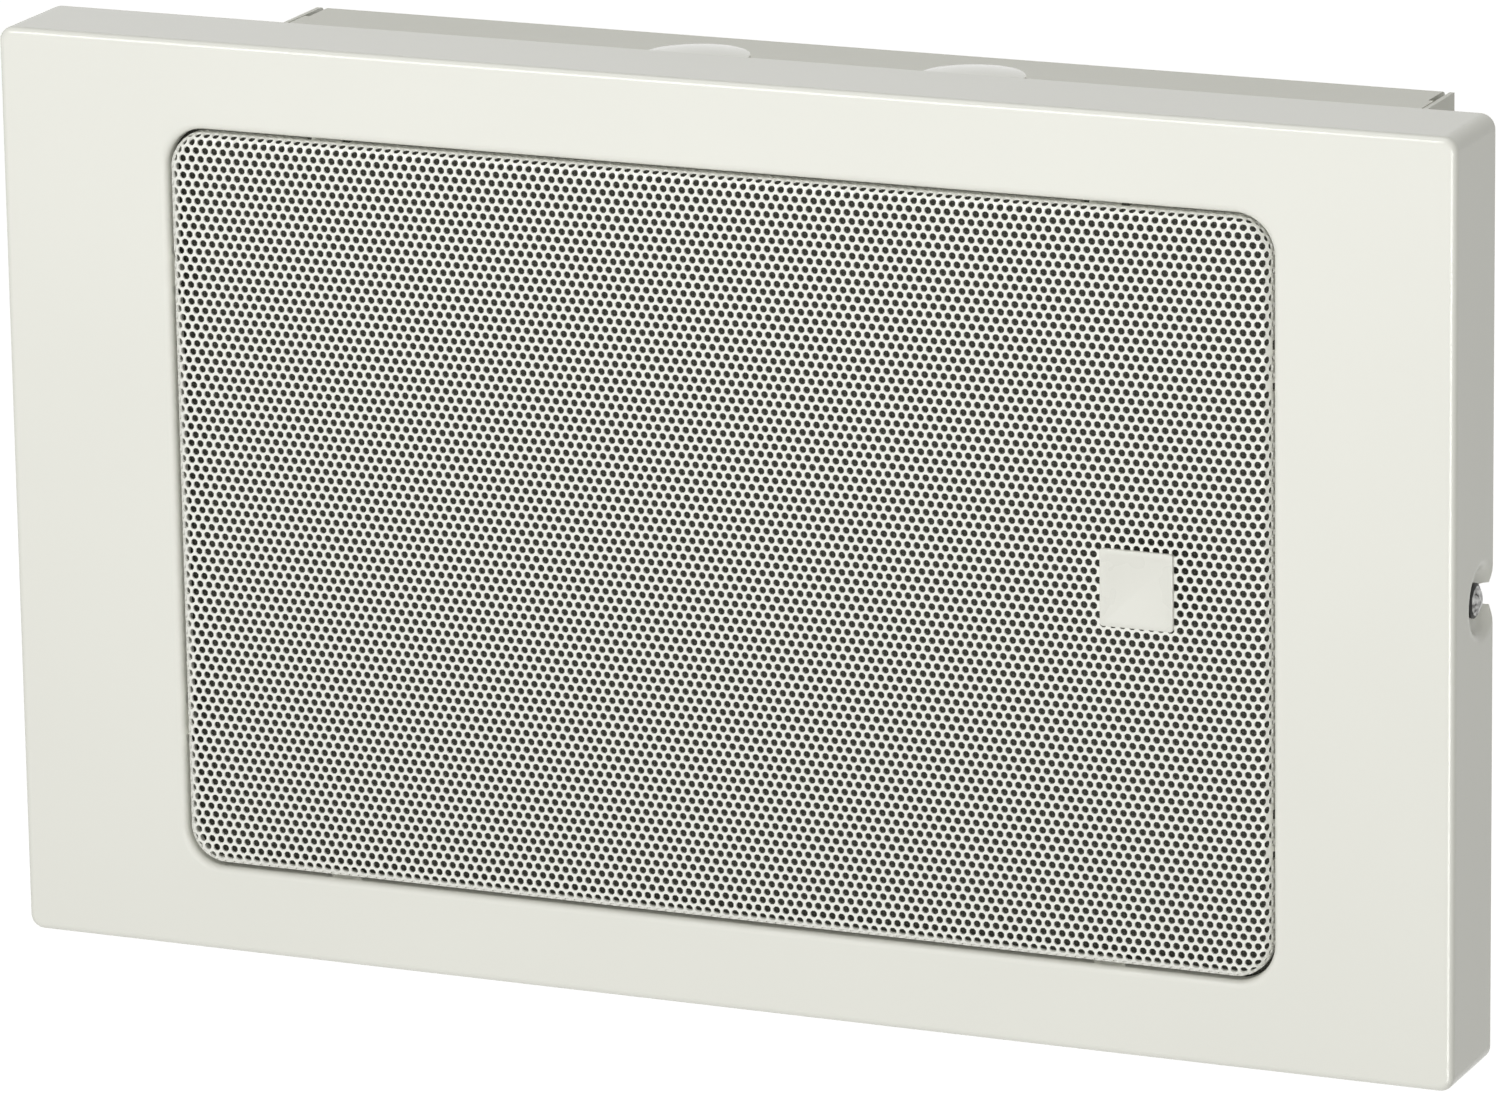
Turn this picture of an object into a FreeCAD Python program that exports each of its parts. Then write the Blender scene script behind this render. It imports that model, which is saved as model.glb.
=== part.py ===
import FreeCAD, Part
import math
import os
import re
import Sketcher

# Wall-mount paging speaker: a folded steel front panel with a perforated grille hooks over two side
# screws of a steel back box. A cone driver, a line transformer and a terminal block sit on a baffle
# plate inside. The origin is on the wall, at the middle of the back box; the front faces -Y, +Z is up.

DIMENSIONS = [
    ("total_depth", 87.0, "wall to the front face of the panel"),
    ("panel_width", 310.0, "front panel, left to right"),
    ("panel_height", 190.0, "front panel, bottom to top"),
    ("panel_depth", 22.7, "front panel, front face to rear edge of its flange"),
    ("panel_sheet", 1.0, "front panel sheet thickness"),
    ("panel_bend", 1.5, "outer radius of the fold round the front face"),
    ("panel_corner", 3.0, "radius of the ground corners, seen from the front"),
    ("opening_width", 236.0, "clear width inside the rolled lip"),
    ("opening_height", 154.0, "clear height inside the rolled lip"),
    ("opening_corner", 8.0, "corner radius inside the rolled lip"),
    ("lip_depth", 3.5, "front face to the end of the rolled lip"),
    ("lip_roll", 1.5, "outer radius of the rolled lip"),
    ("dimple_height", 17.0, "pressed dimple round a side screw, bottom to top"),
    ("dimple_depth", 2.2, "how far the dimple is pressed in"),
    ("dimple_floor", 8.8, "flat floor of the dimple under the screw"),
    ("dimple_hollow", 2.2, "radius from the dimple's floor into its wall"),
    ("slot_width", 4.4, "open slot in the dimple for the screw's shank"),
    ("side_screw_setback", 16.5, "front face to the axis of the side screws"),
    ("side_head_diameter", 7.0, "head of a side screw"),
    ("side_head_height", 2.0, "head of a side screw, seat to crown"),
    ("side_head_rim", 0.7, "head of a side screw, seat to the edge of its dome"),
    ("side_shank_diameter", 4.0, "thread of a side screw"),
    ("side_shank_length", 8.0, "side screw under its head"),
    ("grille_sheet", 0.8, "perforated sheet thickness"),
    ("grille_gap", 0.5, "gap between the grille's skirt and the lip"),
    ("grille_proud", 1.0, "how far the grille stands in front of the panel"),
    ("grille_bend", 2.5, "outer radius of the grille's edge"),
    ("skirt_end", 4.5, "front face of the panel to the end of the grille's skirt"),
    ("tab_width", 6.5, "retaining tab of the grille"),
    ("tab_reach", 4.0, "tab, outwards from the skirt"),
    ("tab_notch", 1.8, "relief notch on each side of a tab"),
    ("notch_start", 1.8, "front face of the panel to the root of a notch"),
    ("top_tab_offset", 83.0, "tabs on the long sides, from the middle"),
    ("side_tab_offset", 47.0, "tabs on the short sides, from the middle"),
    ("hole_pitch", 17.0, "perforation, hole to hole"),
    ("hole_diameter", 11.0, "perforation, hole size"),
    ("hole_margin", 12.0, "edge of the grille to the nearest hole centre, at least"),
    ("badge_width", 15.2, "bare badge plate, left to right"),
    ("badge_height", 15.6, "bare badge plate, bottom to top"),
    ("badge_thickness", 0.8, "bare badge plate"),
    ("badge_corner", 0.6, "corner radius of the badge plate"),
    ("badge_x", 90.4, "badge plate, right of the middle"),
    ("badge_z", 0.8, "badge plate, above the middle"),
    ("cloth_thickness", 0.4, "acoustic cloth"),
    ("cloth_side_room", 6.0, "side edge of the acoustic cloth to the spacers"),
    ("cloth_top_room", 3.0, "upper edge of the acoustic cloth to the upper edge of the baffle"),
    ("cloth_corner", 4.0, "corner radius of the acoustic cloth"),
    ("baffle_setback", 8.0, "front face of the panel to the front of the baffle"),
    ("baffle_sheet", 1.2, "baffle plate thickness"),
    ("baffle_side_room", 8.0, "inside of the panel to the side edges of the baffle"),
    ("baffle_top_room", 5.0, "inside of the panel to the long edges of the baffle"),
    ("baffle_fold", 8.0, "stiffening folds along the baffle's long edges"),
    ("cutout_diameter", 106.0, "hole in the baffle for the driver"),
    ("stud_side_inset", 17.0, "panel studs, from the left and right of the panel"),
    ("stud_top_inset", 15.0, "panel studs, from the top and bottom of the panel"),
    ("stud_diameter", 4.0, "panel stud"),
    ("stud_length", 13.0, "panel stud, from the inside of the panel"),
    ("bolt_clearance", 0.4, "room for a bolt in a plain hole, on the diameter"),
    ("spacer_diameter", 8.0, "spacer tube round a stud"),
    ("nut_width", 7.0, "nut on a stud, across the flats"),
    ("nut_height", 3.2, "nut on a stud"),
    ("box_width", 250.0, "back box, left to right"),
    ("box_height", 168.0, "back box, bottom to top"),
    ("box_sheet", 1.0, "back box sheet thickness"),
    ("box_bend", 1.5, "outer radius of the fold round the back"),
    ("relief_width", 1.4, "bend relief slot at the rear corners, left to right"),
    ("relief_length", 10.0, "bend relief slot, forward from the wall"),
    ("relief_depth", 2.5, "bend relief slot, down from the outside of the box"),
    ("seam_width", 0.3, "butt seam between the upper or lower wall of the box and its side wall"),
    ("seam_depth", 0.5, "butt seam, down from the outside of the box"),
    ("flange_inset", 1.0, "rear edge of the panel to the back of the box's flange"),
    ("flange_height", 185.0, "flange of the back box, bottom to top"),
    ("lug_clearance", 0.2, "dimple of the panel to the lug behind it"),
    ("lug_height", 20.0, "screw lug of the back box, bottom to top"),
    ("lug_length", 11.0, "screw lug, forward from the flange"),
    ("lug_nut_diameter", 8.0, "press nut in the lug"),
    ("lug_nut_height", 2.8, "press nut in the lug"),
    ("thread_clearance", 0.1, "room for a thread in its hole, on the diameter"),
    ("wall_hole_diameter", 5.5, "holes for the wall screws"),
    ("wall_hole_offset_x", 100.0, "wall screws, left and right of the middle"),
    ("wall_hole_offset_z", 60.0, "wall screws, above and below the middle"),
    ("cable_hole_diameter", 35.0, "cable entry in the back"),
    ("plug_offset", 30.0, "blanking plugs in the top, left and right of the middle"),
    ("plug_wall_distance", 22.0, "wall to the middle of a plug"),
    ("plug_hole_diameter", 19.0, "cable entry in the top"),
    ("plug_clearance", 0.4, "room for the plug in its hole, on the diameter"),
    ("plug_head_diameter", 22.0, "head of a plug"),
    ("plug_rim", 0.8, "height of the head's rim"),
    ("plug_crown", 1.8, "height of the head's crown"),
    ("plug_depth", 5.0, "plug inside the box"),
    ("plug_wall", 1.6, "wall of the plug's hollow shank"),
    ("plug_bead", 0.4, "snap bead of the plug"),
    ("plug_seat", 0.3, "sheet of the box to the plug's snap bead"),
    ("gasket_thickness", 1.0, "gasket between the driver and the baffle"),
    ("frame_diameter", 122.0, "driver frame over its flange"),
    ("frame_sheet", 1.0, "driver frame sheet thickness"),
    ("frame_throat", 100.0, "inside of the frame behind its flange"),
    ("frame_land_depth", 4.0, "flange face to the land of the surround"),
    ("frame_land_width", 4.0, "land of the surround"),
    ("frame_spider_depth", 26.0, "flange face to the land of the spider"),
    ("frame_base_depth", 33.0, "flange face to the base of the frame"),
    ("frame_base_bore", 28.4, "hole in the base of the frame"),
    ("frame_screw_circle", 113.0, "screws of the driver, circle through their axes"),
    ("frame_window_inner", 31.0, "windows of the frame, inner radius"),
    ("frame_window_outer", 42.0, "windows of the frame, outer radius"),
    ("frame_window_angle", 58.0, "windows of the frame, angle of each"),
    ("spider_diameter", 54.0, "spider over its rim"),
    ("spider_lap", 4.0, "rim of the spider on its land"),
    ("spider_cloth", 0.5, "spider thickness"),
    ("spider_wave", 1.2, "height of the spider's corrugations"),
    ("cone_mouth", 78.0, "paper cone over its rim"),
    ("cone_lap", 3.0, "flat rim of the cone"),
    ("cone_paper", 0.7, "paper cone thickness, along the axis"),
    ("cone_depth", 17.0, "rim of the cone to its neck"),
    ("roll_radius", 3.8, "outer radius of the surround's roll"),
    ("roll_cloth", 0.6, "surround thickness"),
    ("cap_diameter", 30.0, "dust cap over its rim"),
    ("cap_rise", 4.0, "dust cap, rim to crown"),
    ("cap_paper", 0.5, "dust cap thickness"),
    ("former_bore", 24.4, "inside of the voice coil former"),
    ("former_wall", 0.3, "voice coil former thickness"),
    ("former_length", 20.0, "voice coil former"),
    ("former_lead", 0.5, "former in front of the cone's neck"),
    ("rim_clearance", 0.3, "room round the surround and inside the spider"),
    ("winding_wall", 0.7, "voice coil winding thickness"),
    ("winding_length", 7.0, "voice coil winding"),
    ("pole_diameter", 23.2, "pole piece"),
    ("plate_bore", 27.6, "hole in the magnet's front plate"),
    ("plate_diameter", 54.0, "magnet's front plate"),
    ("plate_thickness", 4.0, "magnet's front plate"),
    ("magnet_diameter", 60.0, "ring magnet"),
    ("magnet_bore", 32.0, "hole in the ring magnet"),
    ("magnet_thickness", 10.0, "ring magnet"),
    ("yoke_diameter", 56.0, "back plate of the yoke"),
    ("yoke_thickness", 4.0, "back plate of the yoke"),
    ("board_width", 16.0, "driver's terminal board, bottom to top"),
    ("board_height", 12.0, "driver's terminal board, from the flange"),
    ("board_thickness", 1.6, "driver's terminal board"),
    ("board_radius", 56.0, "driver axis to the terminal board"),
    ("tag_offset", 4.0, "solder tags, above and below the middle"),
    ("tag_width", 3.0, "solder tag"),
    ("tag_thickness", 0.6, "solder tag"),
    ("tag_reach", 4.0, "solder tag, outwards from the board"),
    ("frame_screw_diameter", 3.5, "thread of the driver's screws"),
    ("frame_screw_head", 7.0, "head of the driver's screws"),
    ("frame_screw_rise", 2.4, "head height of the driver's screws"),
    ("transformer_x", 93.0, "line transformer, right of the middle"),
    ("core_width", 41.0, "laminated core, left to right"),
    ("core_height", 34.5, "laminated core, from the baffle"),
    ("core_stack", 16.0, "laminated core, thickness of the stack"),
    ("core_leg", 13.0, "middle leg of the core"),
    ("core_yoke", 7.0, "yokes and outer legs of the core"),
    ("bobbin_wall", 0.8, "bobbin of the transformer"),
    ("bobbin_flange", 1.0, "end flanges of the bobbin"),
    ("bobbin_overhang", 8.0, "bobbin flanges past the stack, on each side"),
    ("bobbin_clearance", 0.1, "room between bobbin and core"),
    ("winding_inset", 0.6, "winding inside the edge of the bobbin flanges"),
    ("strap_sheet", 1.0, "transformer bracket sheet thickness"),
    ("strap_width", 14.0, "transformer bracket, bottom to top"),
    ("strap_foot", 7.5, "feet of the transformer bracket"),
    ("small_screw_diameter", 3.0, "thread of the small screws"),
    ("small_screw_head", 5.6, "head of the small screws"),
    ("small_screw_rise", 2.0, "head height of the small screws"),
    ("block_x", -93.0, "terminal block, left of the middle"),
    ("block_width", 18.0, "terminal block, left to right"),
    ("block_length", 30.0, "terminal block, bottom to top"),
    ("block_height", 9.0, "terminal block, baffle to its deck"),
    ("block_ear", 7.0, "ears of the terminal block, past its deck"),
    ("block_ear_width", 12.0, "ears of the terminal block, left to right"),
    ("block_ear_height", 3.0, "ears of the terminal block, from the baffle"),
    ("rib_thickness", 1.6, "barrier ribs of the terminal block"),
    ("rib_height", 5.0, "barrier ribs above the deck"),
    ("terminal_width", 9.0, "terminals of the block, one to the next"),
    ("clamp_head", 6.0, "clamp screw head"),
    ("clamp_rise", 2.4, "clamp screw head height"),
    ("clamp_shank", 6.0, "clamp screw under its head"),
    ("cut_margin", 1.0, "how far a cut runs past the metal it goes through"),
]

TERMINAL_COUNT = 3
FRAME_SCREW_COUNT = 4
FRAME_WINDOW_COUNT = 4
SPIDER_WAVE_COUNT = 4
NUT_SIDE_COUNT = 6
TOUCHING = 1e-4
FULL_TURN = 360.0

FRONT = "-total_depth"
BAFFLE_FRONT = "-total_depth + baffle_setback"
BAFFLE_BACK = "-total_depth + baffle_setback + baffle_sheet"
DRIVER_FACE = BAFFLE_BACK + " + gasket_thickness"
GRILLE_WIDTH = "opening_width - 2 * grille_gap"
GRILLE_HEIGHT = "opening_height - 2 * grille_gap"
GRILLE_CORNER = "opening_corner - grille_gap"
BAFFLE_WIDTH = "panel_width - 2 * panel_sheet - 2 * baffle_side_room"
BAFFLE_HEIGHT = "panel_height - 2 * panel_sheet - 2 * baffle_top_room"
STUD_X = "(panel_width / 2 - stud_side_inset)"
STUD_Z = "(panel_height / 2 - stud_top_inset)"
CLOTH_WIDTH = f"2 * ({STUD_X} - spacer_diameter / 2 - cloth_side_room)"
CLOTH_HEIGHT = f"{BAFFLE_HEIGHT} - 2 * cloth_top_room"
LUG_FACE = "panel_width / 2 - panel_sheet - dimple_depth - lug_clearance"
BOX_DEPTH = "total_depth - panel_depth + flange_inset + box_sheet"
SCREW_DIAGONAL = "frame_screw_circle / 2 * cos(45)"
STRAP_HOLE = "core_width / 2 + strap_sheet + strap_foot / 2"
EAR_HOLE = "(block_length + block_ear) / 2"
FIRST_TERMINAL = f"-terminal_width * {TERMINAL_COUNT - 1} / 2"
SURROUND_FACE = "frame_land_depth - roll_cloth"
NECK_RADIUS = "former_bore / 2 + former_wall"
MAGNET_FACE = "frame_base_depth + frame_sheet"

doc = FreeCAD.newDocument("wall_speaker")
WORDS = {alias for alias, value, note in DIMENSIONS}


def make_sheet():
    """Puts every driving dimension into one spreadsheet."""
    sheet = doc.addObject("Spreadsheet::Sheet", "dims")
    for row, (alias, value, note) in enumerate(DIMENSIONS, start=1):
        sheet.set(f"A{row}", note)
        sheet.set(f"B{row}", str(value))
        sheet.setAlias(f"B{row}", alias)
    doc.recompute()
    return sheet


dims = make_sheet()


def cells(words):
    """Turns a formula in plain dimension names into one that reads the spreadsheet."""
    return re.sub(r"[a-z_]+[a-z]", lambda m: "dims." + m.group() if m.group() in WORDS else m.group(), words)


def size(words):
    """Value of a formula in plain dimension names, in millimetres."""
    return float(dims.evalExpression(cells(words)))


def bind(target, name, words):
    target.setExpression(name, cells(words))


def new_body(label, x="0", y="0", z="0"):
    """Body with its own place in the speaker's frame."""
    body = doc.addObject("PartDesign::Body", label)
    body.Label = label
    for axis, words in zip("xyz", (x, y, z)):
        bind(body, f"Placement.Base.{axis}", words)
    return body


def datum(body, role):
    return next(item for item in body.Origin.OriginFeatures if item.Role == role)


def new_sketch(body, name, role, offset="0"):
    """Sketch on one of the body's own planes; offset runs along +X, +Y or +Z."""
    sketch = body.newObject("Sketcher::SketchObject", f"{body.Label}_{name}")
    sketch.AttachmentSupport = [(datum(body, role), "")]
    sketch.MapMode = "FlatFace"
    sign = "-1" if role == "XZ_Plane" else "1"
    bind(sketch, "AttachmentOffset.Base.z", f"{sign} * ({offset})")
    return sketch


def hold(sketch, kind, place, words):
    """Adds one dimension to a sketch and binds it to a formula."""
    index = sketch.addConstraint(Sketcher.Constraint(kind, *place, size(words)))
    bind(sketch, f"Constraints[{index}]", words)


def hold_point(sketch, curve, point, x, y):
    hold(sketch, "DistanceX", (-1, 1, curve, point), x)
    hold(sketch, "DistanceY", (-1, 1, curve, point), y)


def arc_between(start, end, radius):
    """Arc from start to end; a positive radius turns left, a negative one turns right."""
    chord = end - start
    middle = (start + end) * 0.5
    side = FreeCAD.Vector(-chord.y, chord.x, 0).normalize()
    height = math.sqrt(max(radius ** 2 - (chord.Length / 2) ** 2, 0))
    centre = middle + side * math.copysign(height, radius)
    begin, finish = (start, end) if radius > 0 else (end, start)
    angles = [math.atan2(point.y - centre.y, point.x - centre.x) for point in (begin, finish)]
    return Part.ArcOfCircle(Part.Circle(centre, FreeCAD.Vector(0, 0, 1), abs(radius)), *angles)


def outline(sketch, corners):
    """Closed outline. A corner is (x, y), or (x, y, radius) where an arc runs to the next corner."""
    first = sketch.GeometryCount
    spots = [FreeCAD.Vector(size(corner[0]), size(corner[1]), 0) for corner in corners]
    ends = []
    for number, corner in enumerate(corners):
        start, end = spots[number], spots[(number + 1) % len(spots)]
        radius = size(corner[2]) if len(corner) > 2 else 0
        curve = arc_between(start, end, radius) if radius else Part.LineSegment(start, end)
        sketch.addGeometry(curve)
        ends.append((2, 1) if radius < 0 else (1, 2))
    for number, corner in enumerate(corners):
        after = (number + 1) % len(corners)
        link = (first + number, ends[number][1], first + after, ends[after][0])
        sketch.addConstraint(Sketcher.Constraint("Coincident", *link))
        hold_point(sketch, first + number, ends[number][0], corner[0], corner[1])
        if len(corner) > 2:
            hold(sketch, "Radius", (first + number,), corner[2].lstrip("-"))


def rectangle(sketch, left, right, bottom, top):
    outline(sketch, [(left, bottom), (right, bottom), (right, top), (left, top)])


def centred_rectangle(sketch, width, height):
    rectangle(sketch, f"-({width}) / 2", f"({width}) / 2", f"-({height}) / 2", f"({height}) / 2")


def rounded_rectangle(sketch, width, height, corner):
    """Centred rectangle with round corners."""
    left, right = f"-({width}) / 2", f"({width}) / 2"
    low, high = f"-({height}) / 2", f"({height}) / 2"
    near = f"({corner})"
    outline(sketch, [
        (f"{left} + {near}", low), (f"{right} - {near}", low, near),
        (right, f"{low} + {near}"), (right, f"{high} - {near}", near),
        (f"{right} - {near}", high), (f"{left} + {near}", high, near),
        (left, f"{high} - {near}"), (left, f"{low} + {near}", near),
    ])


def circle(sketch, diameter, x="0", y="0"):
    centre = FreeCAD.Vector(size(x), size(y), 0)
    curve = sketch.addGeometry(Part.Circle(centre, FreeCAD.Vector(0, 0, 1), size(diameter) / 2))
    hold(sketch, "Diameter", (curve,), diameter)
    hold_point(sketch, curve, 3, x, y)


def polygon(sketch, sides, across, x, y):
    """Regular polygon with an even number of sides, given its size across the flats."""
    reach = f"({across}) / 2 / cos({FULL_TURN / 2 / sides})"
    turns = [FULL_TURN * side / sides for side in range(sides)]
    outline(sketch, [(f"{x} + {reach} * cos({turn})", f"{y} + {reach} * sin({turn})") for turn in turns])


def extrude(body, sketch, length, cut=False, backwards=False):
    """Pads or cuts a sketch towards +X, +Y or +Z, or the other way when backwards."""
    kind = "Pocket" if cut else "Pad"
    before = body.Tip.Shape.Volume if cut else 0.0
    feature = body.newObject(f"PartDesign::{kind}", f"{sketch.Label}_{kind.lower()}")
    feature.Profile = sketch
    bind(feature, "Length", length)
    normal_is_forward = datum(body, "XZ_Plane") is not sketch.AttachmentSupport[0][0]
    feature.Reversed = (normal_is_forward == backwards) != cut
    doc.recompute()
    if cut and not feature.Shape.Volume < before:
        raise RuntimeError(f"{feature.Label} cuts nothing")
    return feature


def revolve(body, sketch, axis, cut=False):
    """Full turn of a profile about one of the sketch's own axes."""
    kind = "Groove" if cut else "Revolution"
    feature = body.newObject(f"PartDesign::{kind}", f"{sketch.Label}_turn")
    feature.Profile = sketch
    feature.ReferenceAxis = (sketch, [axis])
    feature.Angle = FULL_TURN
    doc.recompute()
    return feature


def dress_edges(body, kind, name, measure, words, wanted):
    base = body.Tip
    names = [f"Edge{n}" for n, edge in enumerate(base.Shape.Edges, start=1) if wanted(edge)]
    feature = body.newObject(f"PartDesign::{kind}", f"{body.Label}_{name}")
    feature.Base = (base, names)
    bind(feature, measure, words)
    doc.recompute()


def round_edges(body, name, radius, wanted):
    """Fillets the edges of the body's last feature for which wanted(edge) is true."""
    dress_edges(body, "Fillet", name, "Radius", radius, wanted)


def bevel_edges(body, name, width, wanted):
    """Chamfers the edges of the body's last feature for which wanted(edge) is true."""
    dress_edges(body, "Chamfer", name, "Size", width, wanted)


def in_plane(edge, axis, value):
    """True where the whole edge lies at one value of x, y or z in the body's own frame."""
    box = edge.BoundBox
    low, high = getattr(box, f"{axis}Min"), getattr(box, f"{axis}Max")
    return abs(low - value) < TOUCHING and abs(high - value) < TOUCHING


def repeat(body, features, name, along, spacing, count=2, and_along=None, and_spacing="0", and_count=2):
    """Linear pattern of some features, or of the whole body, in one or two directions."""
    pattern = body.newObject("PartDesign::LinearPattern", f"{body.Label}_{name}")
    pattern.TransformMode = "Features" if features else "Whole shape"
    if features:
        pattern.Originals = features
    pattern.Direction = (datum(body, along), [""])
    bind(pattern, "Length", spacing)
    set_count(pattern, "Occurrences", count)
    if and_along:
        pattern.Direction2 = (datum(body, and_along), [""])
        bind(pattern, "Length2", and_spacing)
        set_count(pattern, "Occurrences2", and_count)
    body.Tip = pattern
    doc.recompute()


def set_count(pattern, name, count):
    if isinstance(count, str):
        bind(pattern, name, count)
    else:
        setattr(pattern, name, count)


def ring(body, features, count, name="ring"):
    """Polar pattern of some features, or of the whole body, about the driver's axis."""
    pattern = body.newObject("PartDesign::PolarPattern", f"{body.Label}_{name}")
    pattern.TransformMode = "Features" if features else "Whole shape"
    if features:
        pattern.Originals = features
    pattern.Axis = (datum(body, "Y_Axis"), [""])
    pattern.Angle = FULL_TURN
    pattern.Occurrences = count
    body.Tip = pattern
    doc.recompute()


def mirror(body, plane, features=None, name="mirror"):
    """Mirror image of some features, or of the whole body, in one of the body's planes."""
    pattern = body.newObject("PartDesign::Mirrored", f"{body.Label}_{name}")
    pattern.TransformMode = "Features" if features else "Whole shape"
    if features:
        pattern.Originals = features
    pattern.MirrorPlane = (datum(body, plane), [""])
    body.Tip = pattern
    doc.recompute()


def make_front_panel():
    """Folded tray with a rolled lip round the opening and a slotted dimple on each side."""
    body = new_body("front_panel", y=FRONT)
    outer = new_sketch(body, "outer", "XZ_Plane")
    rounded_rectangle(outer, "panel_width", "panel_height", "panel_corner")
    extrude(body, outer, "panel_depth")
    round_edges(body, "fold", "panel_bend", lambda edge: in_plane(edge, "Y", 0))
    inner = new_sketch(body, "inner", "XZ_Plane", "panel_sheet")
    rounded_rectangle(inner, "panel_width - 2 * panel_sheet", "panel_height - 2 * panel_sheet",
                      "panel_corner - panel_sheet")
    extrude(body, inner, "panel_depth", cut=True)
    depth = size("panel_sheet")
    round_edges(body, "inside_fold", "panel_bend - panel_sheet", lambda edge: in_plane(edge, "Y", depth))
    lip = new_sketch(body, "lip", "XZ_Plane")
    rounded_rectangle(lip, "opening_width + 2 * panel_sheet", "opening_height + 2 * panel_sheet",
                      "opening_corner + panel_sheet")
    extrude(body, lip, "lip_depth")
    opening = new_sketch(body, "opening", "XZ_Plane")
    rounded_rectangle(opening, "opening_width", "opening_height", "opening_corner")
    extrude(body, opening, "lip_depth", cut=True)
    half = size("opening_width") / 2
    round_edges(body, "roll", "lip_roll",
                lambda edge: in_plane(edge, "Y", 0) and abs(edge.BoundBox.XMax) < half + TOUCHING)
    add_dimples(body)
    return body


def dish(body, name, grow, top, cut=False):
    """Round dimple about a side screw, with a flat floor and a soft rim, grown by the sheet or not."""
    sketch = new_sketch(body, name, "XY_Plane")
    face = f"(panel_width / 2 - {grow})"
    floor, rim = "dimple_floor / 2", "dimple_height / 2"
    run = f"({rim} - {floor})"
    square = f"({run} ^ 2 + dimple_depth ^ 2)"
    rise, reach = f"(2 * dimple_depth ^ 2 / {square})", f"(2 * dimple_depth * {run} / {square})"
    hollow = f"(dimple_hollow + {grow})"
    crest = f"({square} / (2 * dimple_depth) - {hollow})"
    corners = [
        (top, "side_screw_setback"), (f"{face} - dimple_depth", "side_screw_setback"),
        (f"{face} - dimple_depth", f"side_screw_setback - {floor}", hollow),
        (f"{face} - dimple_depth + {hollow} * {rise}", f"side_screw_setback - {floor} - {hollow} * {reach}",
         f"-{crest}"),
        (face, f"side_screw_setback - {rim}"),
    ]
    if cut:
        corners.append((top, f"side_screw_setback - {rim}"))
    outline(sketch, corners)
    axis_line(sketch, f"{face} - dimple_depth", top, "side_screw_setback")
    return revolve(body, sketch, "Axis0", cut)


def axis_line(sketch, start, end, height):
    """Level construction line to turn a profile about."""
    line = Part.LineSegment(FreeCAD.Vector(size(start), size(height), 0),
                            FreeCAD.Vector(size(end), size(height), 0))
    curve = sketch.addGeometry(line, True)
    hold_point(sketch, curve, 1, start, height)
    hold_point(sketch, curve, 2, end, height)


def add_dimples(body):
    bulge = dish(body, "pressed", "panel_sheet", "panel_width / 2 - panel_sheet")
    rear = new_sketch(body, "rear", "YZ_Plane", "panel_width / 2 - panel_sheet")
    rectangle(rear, "panel_depth", "side_screw_setback + dimple_height", "-dimple_height", "dimple_height")
    trim = extrude(body, rear, "dimple_depth + cut_margin", cut=True, backwards=True)
    hollow = dish(body, "dimple", "0", "panel_width / 2 + cut_margin", cut=True)
    slot = new_sketch(body, "slot", "YZ_Plane", "panel_width / 2")
    half = "slot_width / 2"
    outline(slot, [
        ("panel_depth + cut_margin", f"-{half}"), ("panel_depth + cut_margin", half),
        ("side_screw_setback", half, half), (f"side_screw_setback - {half}", "0", half),
        ("side_screw_setback", f"-{half}"),
    ])
    cut = extrude(body, slot, "dimple_depth + panel_sheet + cut_margin", cut=True, backwards=True)
    mirror(body, "YZ_Plane", [bulge, trim, hollow, cut])


def make_grille():
    """Perforated tray whose skirt slips into the lip and whose tabs turn out behind it."""
    body = new_body("grille", y=FRONT)
    face = "-grille_proud"
    outer = new_sketch(body, "outer", "XZ_Plane", face)
    rounded_rectangle(outer, GRILLE_WIDTH, GRILLE_HEIGHT, GRILLE_CORNER)
    extrude(body, outer, "skirt_end + grille_proud")
    round_edges(body, "edge", "grille_bend", lambda edge: in_plane(edge, "Y", size(face)))
    inner = new_sketch(body, "inner", "XZ_Plane", f"{face} + grille_sheet")
    rounded_rectangle(inner, f"{GRILLE_WIDTH} - 2 * grille_sheet", f"{GRILLE_HEIGHT} - 2 * grille_sheet",
                      f"{GRILLE_CORNER} - grille_sheet")
    extrude(body, inner, "skirt_end + grille_proud", cut=True)
    back = size(f"{face} + grille_sheet")
    round_edges(body, "inside_edge", "grille_bend - grille_sheet", lambda edge: in_plane(edge, "Y", back))
    add_tabs(body, "top", GRILLE_HEIGHT, "top_tab_offset", upright=False)
    add_tabs(body, "side", GRILLE_WIDTH, "side_tab_offset", upright=True)
    perforate(body, face)
    return body


def add_tabs(body, name, span, offset, upright):
    """Two tabs, each between two notches, on both opposite sides of the skirt."""
    edge = f"({span}) / 2"

    def boxes(sketch, along, low, high):
        for middle in (offset, f"-{offset}"):
            near, far = f"{middle} - ({along}) / 2", f"{middle} + ({along}) / 2"
            rectangle(sketch, *((low, high, near, far) if upright else (near, far, low, high)))

    gaps = new_sketch(body, f"{name}_notches", "XZ_Plane", "notch_start")
    boxes(gaps, "tab_width + 2 * tab_notch", f"{edge} - grille_sheet - cut_margin", f"{edge} + cut_margin")
    notches = extrude(body, gaps, "skirt_end", cut=True)
    walls = new_sketch(body, f"{name}_stems", "XZ_Plane", "notch_start")
    boxes(walls, "tab_width", f"{edge} - grille_sheet", edge)
    stems = extrude(body, walls, "skirt_end - notch_start")
    ends = new_sketch(body, f"{name}_tabs", "XZ_Plane", "skirt_end - grille_sheet")
    boxes(ends, "tab_width", f"{edge} - grille_sheet", f"{edge} + tab_reach")
    tabs = extrude(body, ends, "grille_sheet")
    mirror(body, "YZ_Plane" if upright else "XY_Plane", [notches, stems, tabs], f"{name}_opposite")


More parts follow.
